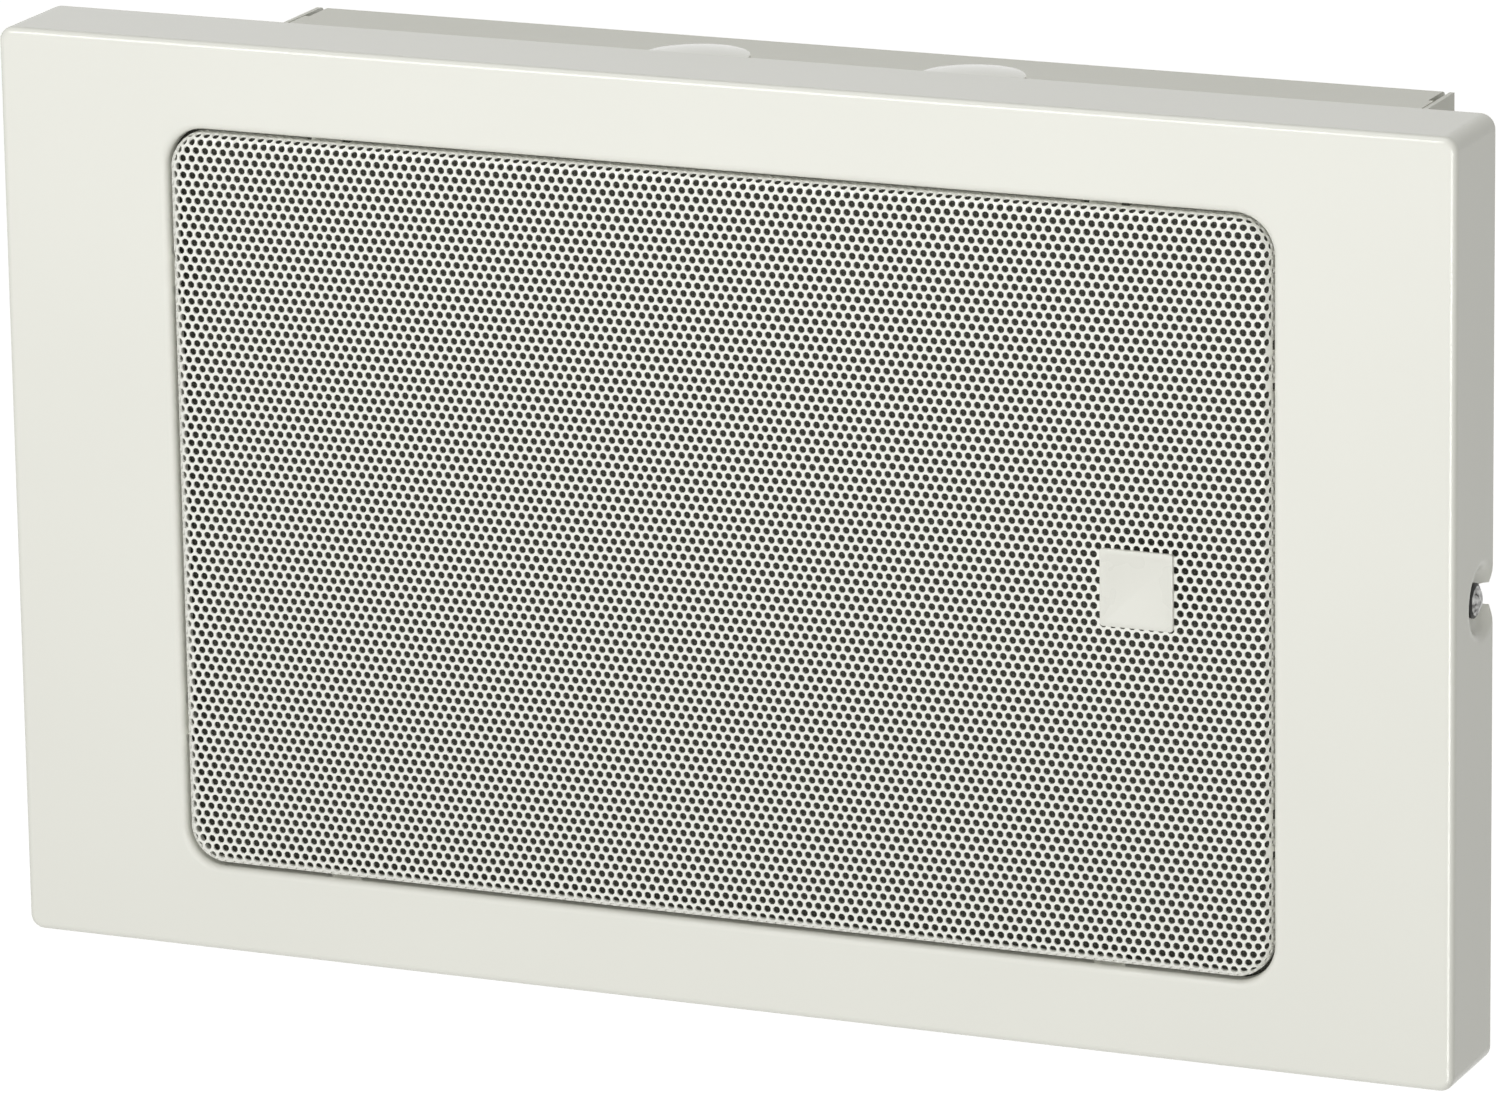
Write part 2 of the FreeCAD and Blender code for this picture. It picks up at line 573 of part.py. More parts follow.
def perforate(body, face):
    """Rows of holes on a sixty degree stagger."""
    row_pitch = "hole_pitch * sqrt(3)"
    columns = f"floor(({GRILLE_WIDTH} - 2 * hole_margin) / hole_pitch)"
    rows = f"floor(({GRILLE_HEIGHT} - 2 * hole_margin) / ({row_pitch}))"
    for name, fewer in (("even", "0"), ("odd", "1")):
        left = f"-({columns} - {fewer}) * hole_pitch / 2"
        low = f"-({rows} - {fewer}) * {row_pitch} / 2"
        sketch = new_sketch(body, f"{name}_holes", "XZ_Plane", face)
        circle(sketch, "hole_diameter", left, low)
        hole = extrude(body, sketch, "grille_sheet", cut=True)
        repeat(body, [hole], f"{name}_rows",
               "X_Axis", f"({columns} - {fewer}) * hole_pitch", f"{columns} - {fewer} + 1",
               "Z_Axis", f"({rows} - {fewer}) * {row_pitch}", f"{rows} - {fewer} + 1")


def make_badge_plate():
    """Bare square plate on the face of the grille."""
    body = new_body("badge_plate", x="badge_x", y=f"{FRONT} - grille_proud", z="badge_z")
    plate = new_sketch(body, "plate", "XZ_Plane")
    rounded_rectangle(plate, "badge_width", "badge_height", "badge_corner")
    extrude(body, plate, "badge_thickness", backwards=True)
    return body


def make_speaker_cloth():
    body = new_body("speaker_cloth", y=BAFFLE_FRONT)
    cloth = new_sketch(body, "cloth", "XZ_Plane")
    rounded_rectangle(cloth, CLOTH_WIDTH, CLOTH_HEIGHT, "cloth_corner")
    extrude(body, cloth, "cloth_thickness", backwards=True)
    return body


def make_baffle_plate():
    """Plate with folded long edges and holes for all that it carries."""
    body = new_body("baffle_plate", y=BAFFLE_FRONT)
    plate = new_sketch(body, "plate", "XZ_Plane")
    centred_rectangle(plate, BAFFLE_WIDTH, BAFFLE_HEIGHT)
    circle(plate, "cutout_diameter")
    extrude(body, plate, "baffle_sheet")
    edge = new_sketch(body, "edge", "XZ_Plane")
    rectangle(edge, f"-({BAFFLE_WIDTH}) / 2", f"({BAFFLE_WIDTH}) / 2",
              f"({BAFFLE_HEIGHT}) / 2 - baffle_sheet", f"({BAFFLE_HEIGHT}) / 2")
    fold = extrude(body, edge, "baffle_sheet + baffle_fold")
    mirror(body, "XY_Plane", [fold], "other_fold")
    stud = new_sketch(body, "stud_hole", "XZ_Plane")
    circle(stud, "stud_diameter + bolt_clearance", f"-{STUD_X}", f"-{STUD_Z}")
    four_studs(body, [extrude(body, stud, "baffle_sheet", cut=True)])
    ring(body, [frame_screw_hole(body, "baffle_sheet")], FRAME_SCREW_COUNT, "frame_holes")
    small = new_sketch(body, "small_holes", "XZ_Plane")
    for side in ("-", "+"):
        circle(small, "small_screw_diameter + bolt_clearance", f"transformer_x {side} ({STRAP_HOLE})")
        circle(small, "small_screw_diameter + bolt_clearance", "block_x", f"0 {side} ({EAR_HOLE})")
    extrude(body, small, "baffle_sheet", cut=True)
    return body


def frame_screw_hole(body, depth):
    """One hole for a driver screw, on the diagonal."""
    sketch = new_sketch(body, "frame_hole", "XZ_Plane")
    circle(sketch, "frame_screw_diameter + bolt_clearance", SCREW_DIAGONAL, SCREW_DIAGONAL)
    return extrude(body, sketch, depth, cut=True)


def four_studs(body, features=None):
    """Repeats the piece or the features at the lower left stud for all four studs."""
    repeat(body, features, "set", "X_Axis", f"2 * {STUD_X}", 2, "Z_Axis", f"2 * {STUD_Z}", 2)
    return body


def make_weld_studs():
    body = new_body("weld_studs", y=f"{FRONT} + panel_sheet")
    stud = new_sketch(body, "stud", "XZ_Plane")
    circle(stud, "stud_diameter", f"-{STUD_X}", f"-{STUD_Z}")
    extrude(body, stud, "stud_length")
    return four_studs(body)


def make_baffle_spacers():
    body = new_body("baffle_spacers", y=f"{FRONT} + panel_sheet")
    tube = new_sketch(body, "tube", "XZ_Plane")
    for diameter in ("spacer_diameter", "stud_diameter + bolt_clearance"):
        circle(tube, diameter, f"-{STUD_X}", f"-{STUD_Z}")
    extrude(body, tube, "baffle_setback - panel_sheet")
    return four_studs(body)


def make_baffle_nuts():
    body = new_body("baffle_nuts", y=BAFFLE_BACK)
    nut = new_sketch(body, "nut", "XZ_Plane")
    polygon(nut, NUT_SIDE_COUNT, "nut_width", f"-{STUD_X}", f"-{STUD_Z}")
    circle(nut, "stud_diameter + thread_clearance", f"-{STUD_X}", f"-{STUD_Z}")
    extrude(body, nut, "nut_height")
    return four_studs(body)


def make_back_box():
    """Folded tray on the wall, with a flange and a screw lug on each side inside the panel."""
    body = new_body("back_box")
    outer = new_sketch(body, "outer", "XZ_Plane")
    centred_rectangle(outer, "box_width", "box_height")
    extrude(body, outer, BOX_DEPTH, backwards=True)
    round_edges(body, "fold", "box_bend", lambda edge: in_plane(edge, "Y", 0))
    inner = new_sketch(body, "inner", "XZ_Plane", "-box_sheet")
    centred_rectangle(inner, "box_width - 2 * box_sheet", "box_height - 2 * box_sheet")
    extrude(body, inner, BOX_DEPTH, cut=True, backwards=True)
    flange = new_sketch(body, "flange", "XZ_Plane", f"-({BOX_DEPTH})")
    centred_rectangle(flange, f"2 * ({LUG_FACE})", "flange_height")
    centred_rectangle(flange, "box_width - 2 * box_sheet", "box_height - 2 * box_sheet")
    extrude(body, flange, "box_sheet")
    add_lugs(body)
    add_box_holes(body)
    return body


def add_lugs(body):
    plate = new_sketch(body, "lug", "YZ_Plane", f"{LUG_FACE} - box_sheet")
    rectangle(plate, f"-({BOX_DEPTH}) - lug_length", f"-({BOX_DEPTH})", "-lug_height / 2", "lug_height / 2")
    circle(plate, "side_shank_diameter + bolt_clearance", f"{FRONT} + side_screw_setback")
    lug = extrude(body, plate, "box_sheet")
    mirror(body, "YZ_Plane", [lug], "other_lug")


def add_box_holes(body):
    corner_slots(body, "relief", "relief_width", "relief_depth", "0", "relief_length")
    corner_slots(body, "seam", "seam_width", "seam_depth", "relief_length",
                 f"{BOX_DEPTH} - relief_length - box_sheet")
    wall = new_sketch(body, "wall_hole", "XZ_Plane")
    circle(wall, "wall_hole_diameter", "-wall_hole_offset_x", "-wall_hole_offset_z")
    hole = extrude(body, wall, "box_sheet", cut=True, backwards=True)
    repeat(body, [hole], "wall_holes", "X_Axis", "2 * wall_hole_offset_x", 2,
           "Z_Axis", "2 * wall_hole_offset_z", 2)
    cable = new_sketch(body, "cable_hole", "XZ_Plane")
    circle(cable, "cable_hole_diameter")
    extrude(body, cable, "box_sheet", cut=True, backwards=True)
    top = new_sketch(body, "plug_holes", "XY_Plane", "box_height / 2")
    for side in ("-", "+"):
        circle(top, "plug_hole_diameter", f"0 {side} plug_offset", "-plug_wall_distance")
    extrude(body, top, "box_sheet + cut_margin", cut=True, backwards=True)


def corner_slots(body, name, width, depth, start, length):
    """Four slots along the ends of the upper and lower walls, inside the side walls."""
    sketch = new_sketch(body, name, "XZ_Plane", f"-({start})")
    left, low = "-box_width / 2 + box_sheet", "-box_height / 2"
    rectangle(sketch, left, f"{left} + {width}", f"{low} - cut_margin", f"{low} + {depth}")
    slot = extrude(body, sketch, length, cut=True, backwards=True)
    repeat(body, [slot], f"{name}s", "X_Axis", f"box_width - 2 * box_sheet - {width}", 2,
           "Z_Axis", f"box_height - {depth} + cut_margin", 2)


def make_cable_entry_plugs():
    """Domed blanking plugs that snap into the top of the box."""
    body = new_body("cable_entry_plugs", x="-plug_offset", y="-plug_wall_distance", z="box_height / 2")
    half = new_sketch(body, "half", "XZ_Plane")
    shank = "(plug_hole_diameter - plug_clearance) / 2"
    head = "plug_head_diameter / 2"
    seat = "-box_sheet - plug_seat"
    outline(half, [
        ("0", "0"), (f"{shank} - plug_wall", "0"), (f"{shank} - plug_wall", "-plug_depth"),
        (shank, "-plug_depth"), (shank, f"{seat} - 2 * plug_bead"),
        (f"{shank} + plug_bead", f"{seat} - plug_bead"),
        (shank, seat), (shank, "0"), (head, "0"), (head, "plug_rim", dome(head, "plug_crown - plug_rim")),
        ("0", "plug_crown"),
    ])
    revolve(body, half, "V_Axis")
    repeat(body, None, "pair", "X_Axis", "2 * plug_offset")
    return body


def dome(radius, rise):
    """Radius of the sphere whose cap has this rim radius and rise."""
    return f"(({radius}) ^ 2 + ({rise}) ^ 2) / (2 * ({rise}))"


def make_side_screws():
    """Pan-head screws that clamp the panel's dimples to the lugs of the box."""
    body = new_body("side_screws", y=f"{FRONT} + side_screw_setback")
    half = new_sketch(body, "half", "XY_Plane")
    seat = "panel_width / 2 - dimple_depth"
    head, shank = "side_head_diameter / 2", "side_shank_diameter / 2"
    outline(half, [
        (f"{seat} - side_shank_length", "0"),
        (f"{seat} + side_head_height", "0", dome(head, "side_head_height - side_head_rim")),
        (f"{seat} + side_head_rim", head), (seat, head), (seat, shank),
        (f"{seat} - side_shank_length", shank),
    ])
    revolve(body, half, "H_Axis")
    mirror(body, "YZ_Plane")
    return body


def make_lug_nuts():
    body = new_body("lug_nuts", y=f"{FRONT} + side_screw_setback")
    half = new_sketch(body, "half", "XY_Plane")
    face = f"{LUG_FACE} - box_sheet"
    rectangle(half, f"{face} - lug_nut_height", face,
              "(side_shank_diameter + thread_clearance) / 2", "lug_nut_diameter / 2")
    revolve(body, half, "H_Axis")
    mirror(body, "YZ_Plane")
    return body


def turned(label, corners):
    """Piece of the driver turned about its axis; each corner is (radius, distance behind the flange face)."""
    body = new_body(label, y=DRIVER_FACE)
    half = new_sketch(body, "half", "XY_Plane")
    outline(half, corners)
    revolve(body, half, "V_Axis")
    return body


def turned_ring(label, bore, outside, front, back):
    inner, outer = f"({bore}) / 2", f"({outside}) / 2"
    return turned(label, [(inner, front), (outer, front), (outer, back), (inner, back)])


def make_driver_gasket():
    body = new_body("driver_gasket", y=BAFFLE_BACK)
    sheet = new_sketch(body, "sheet", "XZ_Plane")
    circle(sheet, "frame_diameter")
    circle(sheet, "cutout_diameter")
    extrude(body, sheet, "gasket_thickness")
    ring(body, [frame_screw_hole(body, "gasket_thickness")], FRAME_SCREW_COUNT, "holes")
    return body


def make_driver_basket():
    """Pressed frame: flange, land for the surround, four open windows, land for the spider, base."""
    throat, rim = "frame_throat / 2", "frame_diameter / 2"
    land = f"{throat} - frame_land_width"
    spider, neck = "spider_diameter / 2 + rim_clearance", "spider_diameter / 2 - spider_lap"
    body = turned("driver_basket", [
        (throat, "0"), (rim, "0"), (rim, "frame_sheet"), (f"{throat} + frame_sheet", "frame_sheet"),
        (f"{throat} + frame_sheet", "frame_land_depth + frame_sheet"),
        (f"{land} + frame_sheet / 2", "frame_land_depth + frame_sheet"),
        (f"{spider} + frame_sheet / 2", "frame_spider_depth + frame_sheet"),
        (f"{neck} + frame_sheet", "frame_spider_depth + frame_sheet"), (f"{neck} + frame_sheet", MAGNET_FACE),
        ("frame_base_bore / 2", MAGNET_FACE), ("frame_base_bore / 2", "frame_base_depth"),
        (neck, "frame_base_depth"), (neck, "frame_spider_depth"), (spider, "frame_spider_depth"),
        (land, "frame_land_depth"), (throat, "frame_land_depth"),
    ])
    ring(body, [frame_screw_hole(body, "frame_sheet")], FRAME_SCREW_COUNT, "holes")
    window = new_sketch(body, "window", "XZ_Plane", "frame_land_depth + frame_sheet")
    across, up = "cos(frame_window_angle / 2)", "sin(frame_window_angle / 2)"
    inner, outer = "frame_window_inner", "frame_window_outer"
    outline(window, [
        (f"{outer} * {across}", f"-{outer} * {up}", outer), (f"{outer} * {across}", f"{outer} * {up}"),
        (f"{inner} * {across}", f"{inner} * {up}", f"-{inner}"), (f"{inner} * {across}", f"-{inner} * {up}"),
    ])
    opening = extrude(body, window, "frame_spider_depth - frame_land_depth - frame_sheet", cut=True)
    ring(body, [opening], FRAME_WINDOW_COUNT, "windows")
    return body


def make_cone_surround():
    """Half-roll edge between the cone's rim and the land of the frame."""
    inner, outer = "cone_mouth / 2", "(frame_throat / 2 - frame_land_width)"
    middle = f"({inner} + {outer}) / 2"
    sink = f"sqrt(roll_radius ^ 2 - (({outer} - {inner}) / 2) ^ 2)"
    reach = f"sqrt((roll_radius - roll_cloth) ^ 2 - ({sink} - roll_cloth) ^ 2)"
    lap, rim = "cone_mouth / 2 - cone_lap", "frame_throat / 2 - rim_clearance"
    back = "frame_land_depth"
    return turned("cone_surround", [
        (lap, SURROUND_FACE), (inner, SURROUND_FACE, "roll_radius"), (outer, SURROUND_FACE),
        (rim, SURROUND_FACE), (rim, back), (f"{middle} + {reach}", back, "-(roll_radius - roll_cloth)"),
        (f"{middle} - {reach}", back), (lap, back),
    ])


def make_speaker_cone():
    rim, lap, neck = "cone_mouth / 2", "cone_mouth / 2 - cone_lap", NECK_RADIUS
    front, deep = "frame_land_depth", "frame_land_depth + cone_depth"
    return turned("speaker_cone", [
        (neck, deep), (lap, front), (rim, front), (rim, f"{front} + cone_paper"),
        (lap, f"{front} + cone_paper"), (neck, f"{deep} + cone_paper"),
    ])


def make_dust_cap():
    """Domed cap glued to the front of the cone."""
    rim = "cap_diameter / 2"
    slope = f"cone_depth / (cone_mouth / 2 - cone_lap - ({NECK_RADIUS}))"
    seat = f"frame_land_depth + (cone_mouth / 2 - cone_lap - {rim}) * {slope}"
    inside = f"{rim} - cap_paper"
    return turned("dust_cap", [
        ("0", f"{seat} - cap_rise", dome(rim, "cap_rise")), (rim, seat),
        (inside, seat, f"-({dome(inside, 'cap_rise - cap_paper')})"), ("0", f"{seat} - cap_rise + cap_paper"),
    ])


def make_voice_coil():
    """Paper former glued in the cone's neck, and the winding on it inside the magnet's gap."""
    start = "frame_land_depth + cone_depth - former_lead"
    outside = "former_bore + 2 * former_wall"
    gap = f"{MAGNET_FACE} + plate_thickness / 2"
    former = turned_ring("voice_coil_former", "former_bore", outside, start, f"{start} + former_length")
    winding = turned_ring("voice_coil_winding", outside, f"{outside} + 2 * winding_wall",
                          f"{gap} - winding_length / 2", f"{gap} + winding_length / 2")
    return [former, winding]


def make_spider():
    """Corrugated disc that centres the coil."""
    back = "frame_spider_depth"
    front = f"{back} - spider_cloth"
    inner, outer = f"({NECK_RADIUS} + rim_clearance)", "(spider_diameter / 2 - spider_lap)"
    steps = 2 * SPIDER_WAVE_COUNT
    radii = [f"{inner} + ({outer} - {inner}) * {step} / {steps}" for step in range(steps + 1)]
    lifts = ["spider_wave" if step % 2 else "0" for step in range(steps + 1)]
    waves = [(radius, f"{front} - {lift}") for radius, lift in zip(radii, lifts)]
    backs = [(radius, f"{back} - {lift}") for radius, lift in zip(radii, lifts)]
    rim = "spider_diameter / 2"
    return turned("spider", waves + [(rim, front), (rim, back)] + backs[::-1])


def make_magnet():
    """Front plate, ring magnet and yoke with the pole in the middle."""
    middle = f"{MAGNET_FACE} + plate_thickness"
    back = f"{middle} + magnet_thickness"
    end = f"{back} + yoke_thickness"
    pole, yoke = "pole_diameter / 2", "yoke_diameter / 2"
    return [
        turned_ring("magnet_top_plate", "plate_bore", "plate_diameter", MAGNET_FACE, middle),
        turned_ring("magnet_ring", "magnet_bore", "magnet_diameter", middle, back),
        turned("magnet_yoke", [("0", MAGNET_FACE), (pole, MAGNET_FACE), (pole, back), (yoke, back),
                               (yoke, end), ("0", end)]),
    ]


def make_driver_terminals():
    """Board on the flange of the frame, and two solder tags on the board."""
    stand = f"{DRIVER_FACE} + frame_sheet"
    board = new_body("driver_terminal_board", x="board_radius", y=stand)
    plate = new_sketch(board, "plate", "YZ_Plane")
    rectangle(plate, "0", "board_height", "-board_width / 2", "board_width / 2")
    extrude(board, plate, "board_thickness")
    tags = new_body("driver_terminal_tags", x="board_radius + board_thickness", y=stand)
    strip = new_sketch(tags, "strip", "YZ_Plane")
    rectangle(strip, "tag_reach", "board_height + tag_reach",
              "-tag_offset - tag_width / 2", "-tag_offset + tag_width / 2")
    extrude(tags, strip, "tag_thickness")
    repeat(tags, None, "pair", "Z_Axis", "2 * tag_offset")
    return [board, tags]


def screw(body, head, rise, shank, length, x, z, seat):
    """Round-head screw that points forwards, with its head behind the plane at seat."""
    cap = new_sketch(body, "head", "XZ_Plane", seat)
    circle(cap, head, x, z)
    extrude(body, cap, rise)
    crown = size(seat) + size(rise)
    bevel_edges(body, "crown", f"({rise}) / 2", lambda edge: in_plane(edge, "Y", crown))
    stem = new_sketch(body, "stem", "XZ_Plane", seat)
    circle(stem, shank, x, z)
    extrude(body, stem, length, backwards=True)


def make_driver_screws():
    body = new_body("driver_screws", y=DRIVER_FACE)
    screw(body, "frame_screw_head", "frame_screw_rise", "frame_screw_diameter",
          "frame_sheet + gasket_thickness + baffle_sheet", SCREW_DIAGONAL, SCREW_DIAGONAL, "frame_sheet")
    ring(body, None, FRAME_SCREW_COUNT, "set")
    return body


def make_transformer_core():
    """Stack of E and I sheets with two windows."""
    body = new_body("transformer_core", x="transformer_x", y=BAFFLE_BACK)
    sheet = new_sketch(body, "sheet", "XY_Plane", "-core_stack / 2")
    rectangle(sheet, "-core_width / 2", "core_width / 2", "0", "core_height")
    window, leg = "core_width / 2 - core_yoke", "core_leg / 2"
    rectangle(sheet, leg, window, "core_yoke", "core_height - core_yoke")
    rectangle(sheet, f"-({window})", f"-{leg}", "core_yoke", "core_height - core_yoke")
    extrude(body, sheet, "core_stack")
    return body


def make_transformer_coil():
    """Bobbin round the middle leg, and the winding between its flanges."""
    start = "core_yoke + bobbin_clearance"
    length = "core_height - 2 * core_yoke - 2 * bobbin_clearance"
    bore = ("core_leg + 2 * bobbin_clearance", "core_stack + 2 * bobbin_clearance")
    tube = tuple(f"{side} + 2 * bobbin_wall" for side in bore)
    flange = ("core_width - 2 * core_yoke - 2 * bobbin_clearance", "core_stack + 2 * bobbin_overhang")
    bobbin = new_body("transformer_bobbin", x="transformer_x", y=BAFFLE_BACK)
    layers = [("tube", tube, start, length), ("near_flange", flange, start, "bobbin_flange"),
              ("far_flange", flange, f"{start} + {length} - bobbin_flange", "bobbin_flange")]
    for name, outer, offset, thickness in layers:
        layer = new_sketch(bobbin, name, "XZ_Plane", offset)
        centred_rectangle(layer, *outer)
        centred_rectangle(layer, *bore)
        extrude(bobbin, layer, thickness)
    winding = new_body("transformer_winding", x="transformer_x", y=BAFFLE_BACK)
    turns = new_sketch(winding, "turns", "XZ_Plane", f"{start} + bobbin_flange")
    rounded_rectangle(turns, f"{flange[0]} - 2 * winding_inset", f"{flange[1]} - 2 * winding_inset",
                      "bobbin_overhang / 2")
    centred_rectangle(turns, *tube)
    extrude(winding, turns, f"{length} - 2 * bobbin_flange")
    return [bobbin, winding]


def make_transformer_bracket():
    """Strap over the core with a foot on each side."""
    body = new_body("transformer_bracket", x="transformer_x", y=BAFFLE_BACK)
    strip = new_sketch(body, "strip", "XY_Plane", "-strap_width / 2")
    inside, outside = "core_width / 2", "core_width / 2 + strap_sheet"
    toe, top = "core_width / 2 + strap_sheet + strap_foot", "core_height"
    outline(strip, [
        (f"-({toe})", "0"), (f"-{inside}", "0"), (f"-{inside}", top), (inside, top), (inside, "0"),
        (toe, "0"), (toe, "strap_sheet"), (outside, "strap_sheet"), (outside, f"{top} + strap_sheet"),
        (f"-({outside})", f"{top} + strap_sheet"), (f"-({outside})", "strap_sheet"),
        (f"-({toe})", "strap_sheet"),
    ])
    extrude(body, strip, "strap_width")
    feet = new_sketch(body, "feet_holes", "XZ_Plane")
    for side in ("-", "+"):
        circle(feet, "small_screw_diameter + bolt_clearance", f"0 {side} ({STRAP_HOLE})")
    extrude(body, feet, "strap_sheet", cut=True)
    return body


def make_transformer_screws():
    body = new_body("transformer_screws", x="transformer_x", y=BAFFLE_BACK)
    screw(body, "small_screw_head", "small_screw_rise", "small_screw_diameter", "strap_sheet + baffle_sheet",
          STRAP_HOLE, "0", "strap_sheet")
    mirror(body, "YZ_Plane")
    return body


def make_terminal_block():
    """Moulded block with barrier ribs between its terminals and an ear at each end."""
    body = new_body("terminal_block", x="block_x", y=BAFFLE_BACK)
    base = new_sketch(body, "base", "XZ_Plane")
    centred_rectangle(base, "block_width", "block_length")
    extrude(body, base, "block_height")
    ears = new_sketch(body, "ears", "XZ_Plane")
    rounded_rectangle(ears, "block_ear_width", "block_length + 2 * block_ear", "block_ear / 2")
    extrude(body, ears, "block_ear_height")
    rib = new_sketch(body, "rib", "XZ_Plane", "block_height")
    end = f"-terminal_width * {TERMINAL_COUNT} / 2"
    rectangle(rib, "-block_width / 2", "block_width / 2",
              f"{end} - rib_thickness / 2", f"{end} + rib_thickness / 2")
    wall = extrude(body, rib, "rib_height")
    repeat(body, [wall], "ribs", "Z_Axis", f"terminal_width * {TERMINAL_COUNT}", TERMINAL_COUNT + 1)
    holes = new_sketch(body, "ear_holes", "XZ_Plane")
    for side in ("-", "+"):
        circle(holes, "small_screw_diameter + bolt_clearance", "0", f"0 {side} ({EAR_HOLE})")
    extrude(body, holes, "block_ear_height", cut=True)
    thread = new_sketch(body, "clamp_hole", "XZ_Plane", "block_height")
    circle(thread, "small_screw_diameter + thread_clearance", "0", FIRST_TERMINAL)
    hole = extrude(body, thread, "clamp_shank + cut_margin", cut=True, backwards=True)
    repeat(body, [hole], "clamp_holes", "Z_Axis", f"terminal_width * {TERMINAL_COUNT - 1}", TERMINAL_COUNT)
    return body


def make_terminal_screws():
    """Clamp screws on the deck of the block, and the screws in its ears."""
    clamps = new_body("terminal_clamp_screws", x="block_x", y=BAFFLE_BACK)
    screw(clamps, "clamp_head", "clamp_rise", "small_screw_diameter", "clamp_shank",
          "0", FIRST_TERMINAL, "block_height")
    repeat(clamps, None, "row", "Z_Axis", f"terminal_width * {TERMINAL_COUNT - 1}", TERMINAL_COUNT)
    fixings = new_body("terminal_block_screws", x="block_x", y=BAFFLE_BACK)
    screw(fixings, "small_screw_head", "small_screw_rise", "small_screw_diameter",
          "block_ear_height + baffle_sheet", "0", EAR_HOLE, "block_ear_height")
    mirror(fixings, "XY_Plane")
    return [clamps, fixings]


def check_document():
    for item in doc.Objects:
        if {"Invalid", "Error"} & set(item.State):
            raise RuntimeError(f"{item.Label} is {item.State}")


def write_parts(bodies):
    os.makedirs("parts", exist_ok=True)
    for body in bodies:
        if body.Shape.isNull() or not body.Shape.isValid():
            raise RuntimeError(f"{body.Label} has no valid shape")
    for body in bodies:
        body.Shape.exportStep(f"parts/{body.Label}.step")
        print(body.Label, len(body.Shape.Solids), round(body.Shape.Volume, 1))


sub_parts = [
    make_front_panel(), make_grille(), make_badge_plate(), make_speaker_cloth(),
    make_baffle_plate(), make_weld_studs(), make_baffle_spacers(), make_baffle_nuts(),
    make_back_box(), make_cable_entry_plugs(), make_side_screws(), make_lug_nuts(),
    make_driver_gasket(), make_driver_basket(), make_cone_surround(), make_speaker_cone(), make_dust_cap(),
    *make_voice_coil(), make_spider(), *make_magnet(), *make_driver_terminals(), make_driver_screws(),
    make_transformer_core(), *make_transformer_coil(), make_transformer_bracket(), make_transformer_screws(),
    make_terminal_block(), *make_terminal_screws(),
]
doc.recompute()
check_document()
write_parts(sub_parts)
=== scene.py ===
import math

import bpy
import numpy as np
from bpy.props import FloatProperty, FloatVectorProperty, IntProperty, PointerProperty
from mathutils import Matrix, Vector
from mathutils.geometry import delaunay_2d_cdt


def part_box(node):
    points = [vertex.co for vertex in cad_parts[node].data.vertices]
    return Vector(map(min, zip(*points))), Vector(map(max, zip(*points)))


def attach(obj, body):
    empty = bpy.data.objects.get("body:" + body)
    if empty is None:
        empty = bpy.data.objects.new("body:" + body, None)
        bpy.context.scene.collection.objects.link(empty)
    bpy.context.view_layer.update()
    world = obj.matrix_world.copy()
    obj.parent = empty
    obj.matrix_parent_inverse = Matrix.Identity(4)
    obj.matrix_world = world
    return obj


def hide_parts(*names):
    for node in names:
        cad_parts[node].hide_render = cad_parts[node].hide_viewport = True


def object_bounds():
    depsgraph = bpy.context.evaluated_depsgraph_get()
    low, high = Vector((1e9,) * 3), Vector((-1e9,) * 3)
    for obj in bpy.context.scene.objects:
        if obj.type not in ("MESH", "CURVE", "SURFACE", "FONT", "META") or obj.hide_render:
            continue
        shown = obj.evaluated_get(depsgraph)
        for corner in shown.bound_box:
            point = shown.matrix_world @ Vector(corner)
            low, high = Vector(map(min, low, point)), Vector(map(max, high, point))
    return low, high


bl_info = {
    "name": "Paging speaker",
    "version": (1, 0, 0),
    "blender": (4, 5, 0),
    "location": "3D View > Sidebar > Speaker",
    "description": "Dresses a wall-mount paging speaker with its perforated grille, fittings and finishes",
    "category": "Object",
}

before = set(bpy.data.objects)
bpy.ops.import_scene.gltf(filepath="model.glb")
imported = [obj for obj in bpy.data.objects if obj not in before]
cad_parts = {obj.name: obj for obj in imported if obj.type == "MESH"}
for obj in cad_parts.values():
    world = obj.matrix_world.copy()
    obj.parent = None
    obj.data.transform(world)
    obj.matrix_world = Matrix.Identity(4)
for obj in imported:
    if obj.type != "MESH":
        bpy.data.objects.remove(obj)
CAD_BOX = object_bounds()
GRILLE_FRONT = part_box("grille")[0].y
BADGE_LOW, BADGE_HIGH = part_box("badge_plate")

IMAGE_WIDTH = 1500.0
SENSOR = 36.0
CLIP_START = 0.01
MILLIMETRES = 1000.0
KEEP_INSIDE = 1
MERGE_DISTANCE = 1e-7
BAND_SCALE = 20
PATTERN_LOW = 0.3
PATTERN_HIGH = 0.7
WHITE = (1.0, 1.0, 1.0, 1.0)

SCREW_RISE = 0.0020
SCREW_THREAD = 0.0020
SCREW_SHANK = 0.0080
SCREW_TURN = 20
BADGE_CORNER = 0.0006

CLOTH_THREADS = 1600.0
DRIVER_THREADS = 1800.0
COIL_TURNS = 4000.0
WINDING_TURNS = 3000.0
CORE_SHEETS = 2000.0

